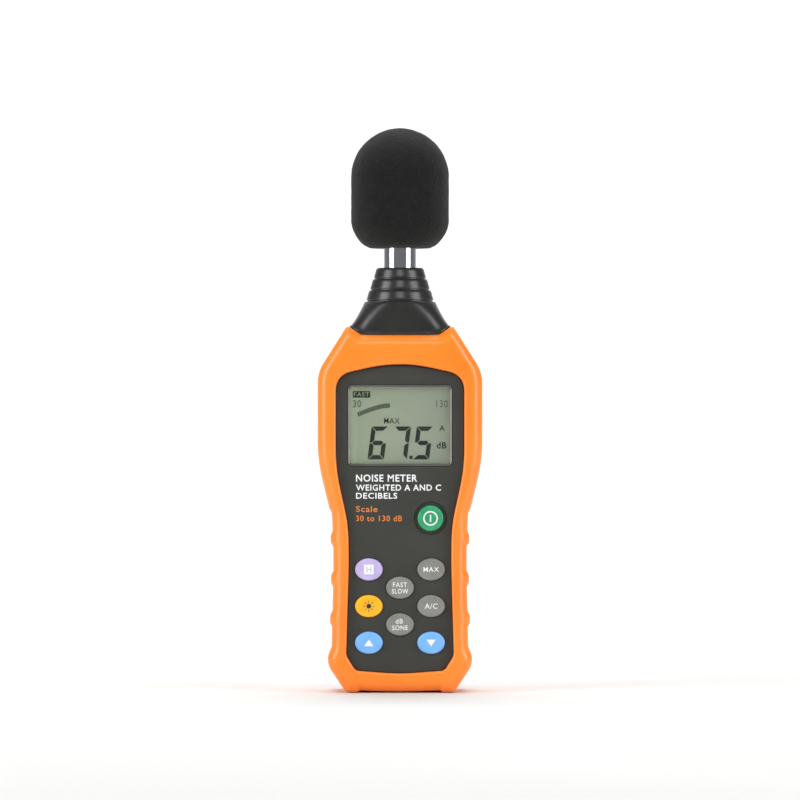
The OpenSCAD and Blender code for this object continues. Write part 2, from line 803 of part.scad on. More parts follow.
module case_screws() {
    color("#9a9c9e") for (p = case_screw_places)
        screw(p, head_floor, -8, case_screw_d, case_head_d, head_t);
}

module board_screws() {
    color("#9a9c9e") for (p = board_screw_places)
        screw(p, board_back, board_front - 4, board_screw_d, board_head_d, 1.3);
}

module tripod_insert() {
    color("#c8a04c") difference() {
        bar([0, tripod_z], rear_depth - tripod_bore_l - 1, rear_depth, tripod_d / 2);
        bar([0, tripod_z], rear_depth - tripod_bore_l, rear_depth + 1, tripod_bore_d / 2);
    }
}

module cover_insert() {
    color("#c8a04c") difference() {
        bar([0, cover_screw_z], cover_in - 5.2, cover_in - 0.2, 2.25);
        bar([0, cover_screw_z], cover_in - 6, cover_in + 1, cover_screw_d / 2);
    }
}

// ---- Batteries; every second cell is turned over, so that they are in series

function cell_x(i) = (i - (cell_count - 1) / 2) * cell_pitch;
function turned(i) = i % 2 == 1;
nub_l = 1;
nub_r = 1.9;

// The end of the bay that is low when the cell stands upright, as seen by one cell
module at_cell(i) {
    mid = bay_z + bay_l / 2;
    translate([cell_x(i), cell_y, mid]) rotate([turned(i) ? 180 : 0, 0, 0]) translate([0, 0, -bay_l / 2])
        children();
}

module battery_cell(i) {
    color(turned(i) ? "#3d6fb0" : "#3f73b6") at_cell(i) translate([0, 0, contact_t + spring_l]) union() {
        cylinder(h = cell_l - nub_l, d = cell_d);
        cylinder(h = cell_l, r = nub_r);
    }
}

// the plates and the foot of a spring stay inside the width of a cell
plate_in = 0.65;
contact_in = 1.25;
coil_in = 1.65;
spring_plate = cell_d - 2 * plate_in;
contact_plate = cell_d - 2 * contact_in;
spring_r0 = cell_d / 2 - coil_in;
spring_r1 = 2.2;
spring_wire = 0.35;
spring_turns = 3;
spring_steps = 12;
module battery_springs() {
    path = [for (k = [0:spring_turns * spring_steps])
        let (t = k / (spring_turns * spring_steps), r = spring_r0 + (spring_r1 - spring_r0) * t)
        [r * cos(360 * spring_turns * t), r * sin(360 * spring_turns * t),
         contact_t + spring_wire * 0.9 + (spring_l - 2 * spring_wire) * t]];
    color("#c7c9cb") for (i = [0:cell_count - 1]) at_cell(i) union() {
        translate([-spring_plate / 2, -spring_plate / 2, 0]) cube([spring_plate, spring_plate, contact_t]);
        sweep(path, spring_wire, 5, [0, 0, 1]);
    }
}

module battery_contacts() {
    color("#d6c07a") for (i = [0:cell_count - 1]) at_cell(i)
        translate([-contact_plate / 2, -contact_plate / 2, bay_l - contact_t])
            cube([contact_plate, contact_plate, contact_t]);
}

// Slots in the floor of the bay for the leads, at its upper end
lead_x = cell_count > 1 ? cell_x(cell_count - 1) : 3;
lead_z = bay_top - 1.2;
module lead_slot(s) {
    block([s * lead_x, lead_z], [2, 2], bay_floor - 1, bay_floor + bay_wall + 1);
}

// Leads from the ends of the battery to the main board
module battery_leads() {
    floor_y = bay_floor + bay_wall;
    color("#b8372c") for (s = [-1, 1]) sweep([
        [s * lead_x, floor_y, lead_z],
        [s * lead_x, bay_floor, lead_z],
        [s * lead_x, bay_floor - 1.4, lead_z + 0.6],
        [s * (lead_x - 0.5), bay_floor - 2.4, lead_z + 2.4],
        [s * (lead_x - 1), bay_floor - 2.8, lead_z + 5],
        [s * (lead_x - 1.2), bay_floor - 3.4, lead_z + 8],
        [s * (lead_x - 1.2), board_back, lead_z + 8]
    ], wire_r, wire_sides, [1, 0, 0]);
}

// ---- Battery cover, its pad and its screw

module battery_cover() {
    mid = [0, (cover_z0 + cover_z1) / 2];
    color("#2e2f2b") difference() {
        plate(mid, [cover_w, cover_z1 - cover_z0], cover_in + 0.02, rear_depth, 2.7);
        block([0, bay_z + bay_l / 2], [bay_w - 6, bay_l - 10], 0, cover_in + 0.6);
        bar([0, cover_screw_z], 0, rear_depth + 1, cover_screw_d / 2 + 0.15);
        bar([0, cover_screw_z], rear_depth - 1, rear_depth + 1, cover_head_d / 2 + 0.3);
    }
}

module cover_pad() {
    color("#1c1c1c") block([0, bay_z + bay_l / 2], [bay_w - 7, bay_l - 12], cover_in - 0.05, cover_in + 0.6);
}

module cover_screw() {
    color("#9a9c9e") screw([0, cover_screw_z], rear_depth - 1, cover_in - 4.8,
        cover_screw_d - 0.1, cover_head_d, 1);
}

// ---- Windscreen

module windscreen() {
    foam_r = foam_d / 2;
    base_r = foam_base_d / 2;
    steps = 10;
    edge = [for (k = [0:steps]) let (t = 1 - k / steps)
        [base_r + (foam_r - base_r) * pow(1 - pow(t, 1.6), 1 / 1.6), foam_z + foam_edge_h * (1 - t)]];
    dome_z = foam_z + foam_h - foam_r;
    dome = [for (a = [0:9:81]) [foam_r * cos(a), dome_z + foam_r * sin(a)]];
    color("#1f1f1d") difference() {
        rotate_extrude($fn = 64) polygon(concat([[0, foam_z]], edge, dome, [[0, foam_z + foam_h]]));
        translate([0, 0, foam_z - 1]) cylinder(h = mic_top + foam_tip_gap - foam_z + 1, r = tube_r + foam_gap);
    }
}

// ---- Keys

// A key: its face with an eased edge, its lip behind the panel and the stem over its dome
module key(at, a, b) {
    oval(at, -key_tip, -key_tip + key_ease + e, a - 0.4, b - 0.4);
    oval(at, -key_tip + key_ease, -panel_in + 0.1, a, b);
    oval(at, -panel_in + 0.1 - e, -key_back, a + key_lip, b + key_lip);
    bar(at, -key_back - e, -stem_end, 2);
}

module oval_key(place, shade) {
    color(shade) key(key_at(place), key_w / 2, key_h / 2);
}

module power_key() {
    color("#2f9a68") key(power_at, power_d / 2, power_d / 2);
}

front_case();
rear_case();
front_bumper();
rear_bumper();
neck_boot();
tube_seal();
tube_nut();
display_lens();
display_gasket();
display_glass();
display_frame();
backlight_panel();
backlight_lamps();
contact_strips();
main_board();
processor_chip();
converter_chip();
amplifier_chips();
regulator_chip();
quartz_crystal();
filter_capacitors();
chip_resistors();
level_trimmer();
key_mat();
key_contacts();
mic_tube();
mic_capsule();
mic_grid();
mic_diaphragm();
mic_backplate();
mic_insulator();
mic_pin();
preamp_board();
preamp_parts();
mic_leads();
tripod_insert();
cover_insert();
case_screws();
board_screws();
battery_cell(0);  // battery_cell_1
battery_cell(1);  // battery_cell_2
battery_cell(2);  // battery_cell_3
battery_springs();
battery_contacts();
battery_leads();
windscreen();
power_key();
oval_key(hold_place, "#bdb0dc");  // hold_key
oval_key(max_place, "#80827c");  // max_key
oval_key(response_place, "#80827c");  // response_key
oval_key(backlight_place, "#ffb515");  // backlight_key
oval_key(weighting_place, "#80827c");  // weighting_key
oval_key(unit_place, "#80827c");  // unit_key
oval_key(up_place, "#78b4f5");  // up_key
oval_key(down_place, "#78b4f5");  // down_key
battery_cover();
cover_pad();
cover_screw();
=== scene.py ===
import math
import random
import bpy
import bmesh
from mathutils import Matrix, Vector, noise
from mathutils.geometry import tessellate_polygon


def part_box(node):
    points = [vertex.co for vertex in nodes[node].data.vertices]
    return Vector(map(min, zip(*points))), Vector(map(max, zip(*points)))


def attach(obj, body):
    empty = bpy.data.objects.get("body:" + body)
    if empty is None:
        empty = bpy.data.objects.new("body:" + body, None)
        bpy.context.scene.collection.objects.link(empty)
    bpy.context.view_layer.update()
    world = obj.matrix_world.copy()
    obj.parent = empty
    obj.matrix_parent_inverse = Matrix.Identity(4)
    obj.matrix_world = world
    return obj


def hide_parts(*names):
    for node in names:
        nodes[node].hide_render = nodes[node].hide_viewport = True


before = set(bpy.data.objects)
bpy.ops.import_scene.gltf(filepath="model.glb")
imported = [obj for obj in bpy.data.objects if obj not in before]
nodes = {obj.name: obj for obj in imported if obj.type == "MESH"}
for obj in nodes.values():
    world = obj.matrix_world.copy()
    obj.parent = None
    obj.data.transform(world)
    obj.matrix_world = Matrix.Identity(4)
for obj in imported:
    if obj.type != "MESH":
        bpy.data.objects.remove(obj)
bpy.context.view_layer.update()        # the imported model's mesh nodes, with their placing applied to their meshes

mm = 0.001

# places read from the imported nodes' bounds, in millimetres

def nodeBox(name):
    low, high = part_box(name)
    return [v / mm for v in low], [v / mm for v in high]

bumperLow, bumperHigh = nodeBox("front_bumper")
panelLow = nodeBox("front_case")[0]
bootLow, bootHigh = nodeBox("neck_boot")
tubeLow, tubeHigh = nodeBox("mic_tube")
glassLow, glassHigh = nodeBox("display_glass")
foamLow, foamHigh = nodeBox("windscreen")

bodyWidth = bumperHigh[0] - bumperLow[0]
panelFace = panelLow[1]              # the panel's level along Y, negative as it faces -Y
crestDepth = -bumperLow[1]
shellDepth = -panelFace - 1          # outer face of the case under the bumper
shoulderZ = bumperHigh[2]
tipZ = shoulderZ + 0.3               # the outline's corner, which its rounding brings down to the box
displayZ = (glassLow[2] + glassHigh[2]) / 2

# meshes

def makePiece(name, verts, faces, material, body, smooth=32, stands=()):
    mesh = bpy.data.meshes.new(name)
    mesh.from_pydata([[c * mm for c in v] for v in verts], [], faces)
    bm = bmesh.new()
    bm.from_mesh(mesh)
    bmesh.ops.remove_doubles(bm, verts=bm.verts, dist=1e-7)
    bmesh.ops.dissolve_degenerate(bm, edges=bm.edges, dist=1e-7)
    bmesh.ops.recalc_face_normals(bm, faces=bm.faces)
    for face in bm.faces:
        face.smooth = True
    bm.to_mesh(mesh)
    bm.free()
    mesh.set_sharp_from_angle(angle=math.radians(smooth))
    piece = bpy.data.objects.new(name, mesh)
    bpy.context.scene.collection.objects.link(piece)
    mesh.materials.append(material)
    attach(piece, body)
    if stands:
        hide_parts(*stands)
    return piece

def bridge(start, count, rings, faces):
    for j in range(rings - 1):
        for i in range(count):
            a, b = start + j * count + i, start + j * count + (i + 1) % count
            faces.append((a, b, b + count, a + count))

# closed surface through rings that have the same number of points, capped at both ends
def loft(rings):
    count = len(rings[0])
    verts = [p for ring in rings for p in ring]
    faces = []
    bridge(0, count, len(rings), faces)
    faces.append(tuple(range(count - 1, -1, -1)))
    faces.append(tuple(range(len(verts) - count, len(verts))))
    return verts, faces

# a profile of [radius, z] turned about the Z axis
def turned(profile, steps=96):
    verts, faces, last = [], [], None
    for r, z in profile:
        if r < 1e-6:
            ring = [len(verts)]
            verts.append((0, 0, z))
        else:
            ring = list(range(len(verts), len(verts) + steps))
            verts += [(r * math.cos(2 * math.pi * k / steps), r * math.sin(2 * math.pi * k / steps), z)
                      for k in range(steps)]
        if last is not None:
            for k in range(steps):
                n = (k + 1) % steps
                quad = [last[k % len(last)], last[n % len(last)], ring[n % len(ring)], ring[k % len(ring)]]
                face = tuple(dict.fromkeys(quad))
                if len(face) > 2:
                    faces.append(face)
        last = ring
    return verts, faces

leastEase = 0.12        # keeps an inset corner from closing to a point
sideShare = 0.49        # the most of a side that one corner's rounding takes
inkDepth = 0.06

# rounding of an outline's corners; a corner is [x, z, ease], the ease a length along its sides
def roundedOutline(corners, inset, steps=5):
    n = len(corners)
    points = [Vector(c[:2]) for c in corners]
    moved, eases = [], []
    for i, p in enumerate(points):
        u = (p - points[i - 1]).normalized()
        v = (points[(i + 1) % n] - p).normalized()
        out1, out2 = Vector((u.y, -u.x)), Vector((v.y, -v.x))
        k = 1 + out1.dot(out2)
        moved.append(p - inset * (out1 + out2) / k)
        halfTurn = (out1.x * out2.y - out1.y * out2.x) / k
        eases.append(max(corners[i][2] - inset * halfTurn, leastEase))
    result = []
    for i, p in enumerate(moved):
        a, b = moved[i - 1] - p, moved[(i + 1) % n] - p
        ease = min(eases[i], sideShare * a.length, sideShare * b.length)
        s, f = p + a.normalized() * ease, p + b.normalized() * ease
        for step in range(steps + 1):
            t = step / steps
            q = (1 - t) ** 2 * s + 2 * t * (1 - t) * p + t * t * f
            result.append((q.x, q.y))
    return result

def mirroredCorners(bottom, half, top):
    return bottom + half + top + [[-c[0], c[1], c[2]] for c in reversed(half)]

# flat shapes in XZ made into thin solids; the front of each lies at the level y
def inkSolid(outlines, y, depth=inkDepth):
    verts, faces = [], []
    for outline in outlines:
        start, count = len(verts), len(outline)
        verts += [(x, y, z) for x, z in outline] + [(x, y + depth, z) for x, z in outline]
        faces.append(tuple(start + i for i in range(count)))
        faces.append(tuple(start + count + i for i in reversed(range(count))))
        bridge(start, count, 2, faces)
    return verts, faces

def annulus(x, z, outer, inner, parts=48):
    rim = [(math.cos(2 * math.pi * k / parts), math.sin(2 * math.pi * k / parts)) for k in range(parts)]
    return [[(x + c * inner, z + s * inner), (x + c * outer, z + s * outer),
             (x + cn * outer, z + sn * outer), (x + cn * inner, z + sn * inner)]
            for (c, s), (cn, sn) in zip(rim, rim[1:] + rim[:1])]

def disc(x, z, r, parts=32):
    return [(x + r * math.cos(2 * math.pi * k / parts), z + r * math.sin(2 * math.pi * k / parts))
            for k in range(parts)]

def rect(x, z, w, h, turn=0.0):
    c, s = math.cos(turn), math.sin(turn)
    return [(x + a * w / 2 * c - b * h / 2 * s, z + a * w / 2 * s + b * h / 2 * c)
            for a, b in ((-1, -1), (1, -1), (1, 1), (-1, 1))]

# lettering fitted to a width and cap height; returned as verts and faces facing -Y
def lettering(words, left, base, width, height, y, bold=0.0, centred=False):
    curve = bpy.data.curves.new("words", "FONT")
    curve.body = words
    curve.extrude = 0.5
    curve.offset = bold
    curve.space_character = 1.12
    curve.resolution_u = 3
    holder = bpy.data.objects.new("words", curve)
    bpy.context.scene.collection.objects.link(holder)
    bpy.context.view_layer.update()
    mesh = holder.to_mesh()
    xs = [v.co.x for v in mesh.vertices]
    ys = [v.co.y for v in mesh.vertices]
    sx, sz = width / (max(xs) - min(xs)), height / (max(ys) - min(ys))
    shift = left - (width / 2 if centred else 0)
    verts = [(shift + (v.co.x - min(xs)) * sx, y - (v.co.z - curve.extrude) * inkDepth,
              base + (v.co.y - min(ys)) * sz) for v in mesh.vertices]
    faces = [tuple(p.vertices) for p in mesh.polygons]
    holder.to_mesh_clear()
    bpy.data.objects.remove(holder)
    bpy.data.curves.remove(curve)
    return verts, faces

def joined(*meshes):
    verts, faces = [], []
    for v, f in meshes:
        start = len(verts)
        verts += v
        faces += [tuple(start + i for i in face) for face in f]
    return verts, faces

# flat faces cut until no edge is longer than the given length, so that they can follow a curve
def refined(verts, faces, longest=0.7):
    bm = bmesh.new()
    points = [bm.verts.new(v) for v in verts]
    for face in faces:
        bm.faces.new([points[i] for i in face])
    bmesh.ops.triangulate(bm, faces=bm.faces)
    for step in range(4):
        longEdges = [e for e in bm.edges if e.calc_length() > longest]
        if longEdges:
            bmesh.ops.subdivide_edges(bm, edges=longEdges, cuts=1)
            bmesh.ops.triangulate(bm, faces=bm.faces)
    bm.verts.index_update()
    result = [tuple(v.co) for v in bm.verts], [tuple(v.index for v in f.verts) for f in bm.faces]
    bm.free()
    return result

# materials

def linear(code):
    parts = [int(code[i:i + 2], 16) / 255 for i in (1, 3, 5)]
    return [c / 12.92 if c <= 0.04045 else ((c + 0.055) / 1.055) ** 2.4 for c in parts] + [1]

def addNode(tree, kind, inputs=None, **settings):
    node = tree.nodes.new(kind)
    for key, value in settings.items():
        setattr(node, key, value)
    for socket, value in (inputs or {}).items():
        if isinstance(value, bpy.types.NodeSocket):
            tree.links.new(value, node.inputs[socket])
        else:
            node.inputs[socket].default_value = value
    return node

def startMaterial(name, look):
    material = bpy.data.materials.new(name)
    material.use_nodes = True
    tree = material.node_tree
    shader = tree.nodes["Principled BSDF"]
    for socket in ("Metallic", "IOR", "Coat Weight", "Coat Roughness", "Sheen Weight", "Sheen Roughness",
                   "Transmission Weight", "Specular IOR Level", "Emission Strength"):
        if socket in look:
            shader.inputs[socket].default_value = look[socket]
    place = addNode(tree, "ShaderNodeTexCoord").outputs["Object"]
    return material, tree, shader, place

# moulded, cast and plated surfaces: a fine grain in height, a broad drift in shade and gloss
def mouldedSurface(name, look):
    material, tree, shader, place = startMaterial(name, look)
    drift = addNode(tree, "ShaderNodeTexNoise",
                    {"Vector": place, "Scale": 1 / (look["drift"] * mm), "Detail": 3.0})
    ramp = addNode(tree, "ShaderNodeValToRGB", {"Fac": drift.outputs["Fac"]})
    ramp.color_ramp.elements[0].position = 0.3
    ramp.color_ramp.elements[0].color = linear(look["dark"])
    ramp.color_ramp.elements[1].position = 0.7
    ramp.color_ramp.elements[1].color = linear(look["light"])
    tree.links.new(ramp.outputs["Color"], shader.inputs["Base Color"])
    gloss = addNode(tree, "ShaderNodeMapRange",
                    {"Value": drift.outputs["Fac"], "From Min": 0.3, "From Max": 0.7,
                     "To Min": look["rough"] * 0.9, "To Max": look["rough"] * 1.1})
    tree.links.new(gloss.outputs["Result"], shader.inputs["Roughness"])
    grain = addNode(tree, "ShaderNodeTexNoise",
                    {"Vector": place, "Scale": 1 / (look["grain"] * mm), "Detail": 2.0})
    bump = addNode(tree, "ShaderNodeBump", {"Height": grain.outputs["Fac"], "Strength": look["relief"],
                   "Distance": look["depth"] * mm})
    tree.links.new(bump.outputs["Normal"], shader.inputs["Normal"])
    return material

# spark-textured ABS, overmoulded orange: satin, with a slow drift of gloss along the grip
orangeAbs = mouldedSurface("orange_moulded_shell", {
    "dark": "#fb7c17", "light": "#ff8722", "rough": 0.33, "IOR": 1.53,
    "drift": 30, "grain": 0.45, "depth": 0.02, "relief": 0.5})
# fine matt ABS of the panel: even charcoal that stays dark under the lamps
panelAbs = mouldedSurface("charcoal_fine_abs", {
    "dark": "#282924", "light": "#2e2f2a", "rough": 0.52, "IOR": 1.53,
    "drift": 18, "grain": 0.3, "depth": 0.02, "relief": 0.6})
# the back's coarser spark texture hides finger marks
backAbs = mouldedSurface("charcoal_spark_abs", {
    "dark": "#2a2b27", "light": "#333430", "rough": 0.6, "IOR": 1.53,
    "drift": 22, "grain": 0.6, "depth": 0.05, "relief": 0.8})
# polished-tool ABS of the neck: the darkest part, with soft bright streaks
neckAbs = mouldedSurface("black_satin_abs", {
    "dark": "#1f201e", "light": "#262724", "rough": 0.3, "IOR": 1.53,
    "drift": 16, "grain": 0.35, "depth": 0.01, "relief": 0.4})
# bright chrome plate: a mirror with the faintest haze
chromePlate = mouldedSurface("bright_chrome_plate", {
    "dark": "#dfe2e4", "light": "#eceeef", "rough": 0.07,
    "Metallic": 1.0, "drift": 9, "grain": 0.6, "depth": 0.002, "relief": 0.2})
# turned nickel: greyer than the chrome
nickel = mouldedSurface("turned_nickel", {
    "dark": "#a9abac", "light": "#c2c4c5", "rough": 0.24, "Metallic": 1.0,
    "drift": 6, "grain": 0.2, "depth": 0.01, "relief": 0.3})
# zinc plate on the screws: duller and bluer than the nickel
zinc = mouldedSurface("zinc_plated_steel", {
    "dark": "#8d9092", "light": "#a9acae", "rough": 0.36, "Metallic": 1.0,
    "drift": 3, "grain": 0.25, "depth": 0.01, "relief": 0.4})
# the lens's moulded rim is polished and catches light at its sides; its grey, lighter than the dark rim
# itself, is a painted highlight
rimPaintedHighlight = mouldedSurface("polished_rim_painted_highlight", {
    "dark": "#4c4e48", "light": "#565852", "rough": 0.18, "IOR": 1.53,
    "drift": 9, "grain": 0.5, "depth": 0.005, "relief": 0.2})
# turned brass: warm glints inside the insert
brass = mouldedSurface("turned_brass", {
    "dark": "#a8843c", "light": "#c9a456", "rough": 0.3, "Metallic": 1.0,
    "drift": 4, "grain": 0.2, "depth": 0.01, "relief": 0.3})
# coated foil: a small golden mirror behind the grid
goldFoil = mouldedSurface("gold_coated_foil", {
    "dark": "#d2a548", "light": "#e6bd62", "rough": 0.18,
    "Metallic": 1.0, "drift": 3, "grain": 0.3, "depth": 0.003, "relief": 0.2})
# glass-fibre board under green solder mask
boardMask = mouldedSurface("green_solder_mask", {
    "dark": "#17552e", "light": "#1f6b3a", "rough": 0.3, "IOR": 1.5,
    "drift": 8, "grain": 0.5, "depth": 0.02, "relief": 0.5})
# moulded epoxy: flat, nearly black blocks
chipEpoxy = mouldedSurface("black_chip_epoxy", {
    "dark": "#1a1a1c", "light": "#232325", "rough": 0.55, "IOR": 1.55,
    "drift": 5, "grain": 0.15, "depth": 0.01, "relief": 0.6})
# diffusing acrylic: an even white without sparkle
whitePlastic = mouldedSurface("white_diffusing_acrylic", {
    "dark": "#dedfd6", "light": "#edede6", "rough": 0.4,
    "IOR": 1.49, "drift": 12, "grain": 0.4, "depth": 0.01, "relief": 0.3})
# silicone of the key mat: mid grey with a dull bloom
greyRubber = mouldedSurface("grey_silicone_rubber", {
    "dark": "#85878a", "light": "#939598", "rough": 0.55,
    "IOR": 1.41, "drift": 10, "grain": 0.4, "depth": 0.02, "relief": 0.4})
# seals and pads: black with hardly a highlight
blackRubber = mouldedSurface("black_rubber", {
    "dark": "#191919", "light": "#222222", "rough": 0.65, "IOR": 1.52,
    "drift": 5, "grain": 0.3, "depth": 0.02, "relief": 0.5})
# extruded insulation: dull red
redRubber = mouldedSurface("red_insulation", {
    "dark": "#9c2d24", "light": "#b3372c", "rough": 0.45, "IOR": 1.5,
    "drift": 4, "grain": 0.3, "depth": 0.01, "relief": 0.3})
# shrink sleeve on the cells: glossy blue
blueSleeve = mouldedSurface("blue_printed_sleeve", {
    "dark": "#33649f", "light": "#3f73b6", "rough": 0.28,
    "IOR": 1.5, "drift": 12, "grain": 0.5, "depth": 0.01, "relief": 0.2})

# silicone keys under a hard clear coat: saturated, with one soft highlight each
def keySilicone(name, dark, light):
    return mouldedSurface(name, {"dark": dark, "light": light, "rough": 0.42, "IOR": 1.41, "Coat Weight": 0.35,
        "Coat Roughness": 0.18, "drift": 4, "grain": 0.3, "depth": 0.01, "relief": 0.3})

keyFinish = {
    "green": keySilicone("green_key_silicone", "#238a5a", "#2f9f6b"),
    "violet": keySilicone("violet_key_silicone", "#b3a5d6", "#c0b3df"),
    "grey": keySilicone("grey_key_silicone", "#777973", "#83857e"),
    "amber": keySilicone("amber_key_silicone", "#fdab08", "#ffb61c"),
    "blue": keySilicone("blue_key_silicone", "#6aaaf0", "#7cb7f6"),
}

# pad-printed inks: flat and slightly chalky
def printedInk(name, dark, light):
    return mouldedSurface(name, {"dark": dark, "light": light, "rough": 0.6, "IOR": 1.48, "drift": 2,
        "grain": 0.15, "depth": 0.01, "relief": 0.4})

whiteInk = printedInk("white_pad_ink", "#dfe2e2", "#edf0f0")
orangeInk = printedInk("orange_pad_ink", "#d77a2c", "#e08538")
darkInk = printedInk("dark_pad_ink", "#33200c", "#3b2610")
# dark liquid-crystal segments, a little softer than ink
segmentInk = printedInk("liquid_crystal_segments", "#2b2e27", "#33362d")
# segments driven at part of the voltage stay half clear
faintInk = printedInk("faint_crystal_segments", "#5b6251", "#636a58")

# open-cell polyurethane foam: pores 0.6 mm across; the shade that fills them and the little light the cell
# walls catch are painted into the colour
def foamMaterial():
    look = {"pore": 0.62, "dust": 4, "Sheen Weight": 0.08, "Sheen Roughness": 0.6, "IOR": 1.45,
            "Specular IOR Level": 0.2}
    material, tree, shader, place = startMaterial("black_open_cell_foam", look)
    pores = addNode(tree, "ShaderNodeTexVoronoi", {"Vector": place, "Scale": 1 / (look["pore"] * mm)})
    drift = addNode(tree, "ShaderNodeTexNoise",
                    {"Vector": place, "Scale": 1 / (look["dust"] * mm), "Detail": 5.0})
    level = addNode(tree, "ShaderNodeMath", {0: pores.outputs["Distance"], 1: drift.outputs["Fac"]},
                    operation="MULTIPLY")
    # painted shade: darkest at each pore's middle, lighter towards the cell walls
    ramp = addNode(tree, "ShaderNodeValToRGB", {"Fac": level.outputs["Value"]})
    ramp.color_ramp.elements[0].position = 0.05
    ramp.color_ramp.elements[0].color = linear("#060606")
    ramp.color_ramp.elements[1].position = 0.4
    ramp.color_ramp.elements[1].color = linear("#161615")
    tree.links.new(ramp.outputs["Color"], shader.inputs["Base Color"])
    rough = addNode(tree, "ShaderNodeMapRange", {"Value": drift.outputs["Fac"], "To Min": 0.88, "To Max": 1.0})
    tree.links.new(rough.outputs["Result"], shader.inputs["Roughness"])
    bump = addNode(tree, "ShaderNodeBump", {"Height": pores.outputs["Distance"], "Strength": 0.9,
                   "Distance": 0.25 * mm})
    tree.links.new(bump.outputs["Normal"], shader.inputs["Normal"])
    return material

# liquid-crystal cell over its reflector: grey-green, with a painted backlight glow: a faint emission, and a
# colour painted lighter towards the lamp at its left edge
def displayMaterial():
    look = {"IOR": 1.5, "Specular IOR Level": 0.2, "Emission Strength": 0.16}
    material, tree, shader, place = startMaterial("liquid_crystal_painted_glow", look)
    along = addNode(tree, "ShaderNodeSeparateXYZ", {"Vector": place})
    glowSpread = addNode(tree, "ShaderNodeMapRange", {"Value": along.outputs["X"], "From Min": glassLow[0] * mm,
                     "From Max": glassHigh[0] * mm})
    # painted glow: the colour is lighter towards the left edge and also feeds the emission
    ramp = addNode(tree, "ShaderNodeValToRGB", {"Fac": glowSpread.outputs["Result"]})
    ramp.color_ramp.elements[0].color = linear("#dde8c6")
    ramp.color_ramp.elements[1].color = linear("#b3b8a9")
    second = ramp.color_ramp.elements.new(0.12)
    second.color = linear("#bac2ac")
    tree.links.new(ramp.outputs["Color"], shader.inputs["Base Color"])
    tree.links.new(ramp.outputs["Color"], shader.inputs["Emission Color"])
    haze = addNode(tree, "ShaderNodeTexNoise", {"Vector": place, "Scale": 1 / (0.4 * mm)})
    rough = addNode(tree, "ShaderNodeMapRange", {"Value": haze.outputs["Fac"], "To Min": 0.45, "To Max": 0.6})
    tree.links.new(rough.outputs["Result"], shader.inputs["Roughness"])
    return material

# clear cast acrylic: its edges and one soft reflection are all that shows
def lensMaterial():
    look = {"IOR": 1.49, "Transmission Weight": 1.0}
    material, tree, shader, place = startMaterial("clear_cast_acrylic", look)
    shader.inputs["Base Color"].default_value = linear("#f6faf6")
    haze = addNode(tree, "ShaderNodeTexNoise", {"Vector": place, "Scale": 1 / (12 * mm)})
    rough = addNode(tree, "ShaderNodeMapRange", {"Value": haze.outputs["Fac"], "To Min": 0.01, "To Max": 0.04})
    tree.links.new(rough.outputs["Result"], shader.inputs["Roughness"])
    return material

foam = foamMaterial()
cellPaintedGlow = displayMaterial()
acrylic = lensMaterial()
print("materials made")

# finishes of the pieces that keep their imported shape

nodeFinish = {
    "front_case": panelAbs, "rear_case": backAbs, "tube_seal": blackRubber, "tube_nut": nickel,
    "display_lens": acrylic, "display_gasket": blackRubber, "display_glass": cellPaintedGlow,
    "display_frame": whitePlastic, "backlight_panel": whitePlastic, "backlight_lamps": whitePlastic,
    "contact_strips": redRubber, "main_board": boardMask, "preamp_board": boardMask,
    "processor_chip": chipEpoxy, "converter_chip": chipEpoxy, "amplifier_chips": chipEpoxy,
    "regulator_chip": chipEpoxy, "preamp_parts": chipEpoxy, "quartz_crystal": nickel,
    "filter_capacitors": blueSleeve, "chip_resistors": chipEpoxy, "level_trimmer": blueSleeve,
    "key_mat": greyRubber, "key_contacts": blackRubber, "mic_diaphragm": goldFoil, "mic_backplate": brass,
    "mic_insulator": whitePlastic, "mic_pin": brass, "mic_leads": redRubber, "battery_leads": redRubber,
    "tripod_insert": brass, "cover_insert": brass, "case_screws": zinc, "board_screws": zinc,
    "cover_screw": zinc, "battery_cell_1": blueSleeve, "battery_cell_2": blueSleeve,
    "battery_cell_3": blueSleeve, "battery_springs": nickel, "battery_contacts": nickel,
    "battery_cover": backAbs, "cover_pad": blackRubber, "mic_grid": nickel,
}
for name, material in nodeFinish.items():
    node = nodes[name]
    if node.material_slots:
        for place in node.material_slots:
            place.material = material
    else:
        node.data.materials.append(material)

# bumper: two crowned shells that meet in the parting plane
# corner rows are [x, z, ease], counted from the place that the note beside them names

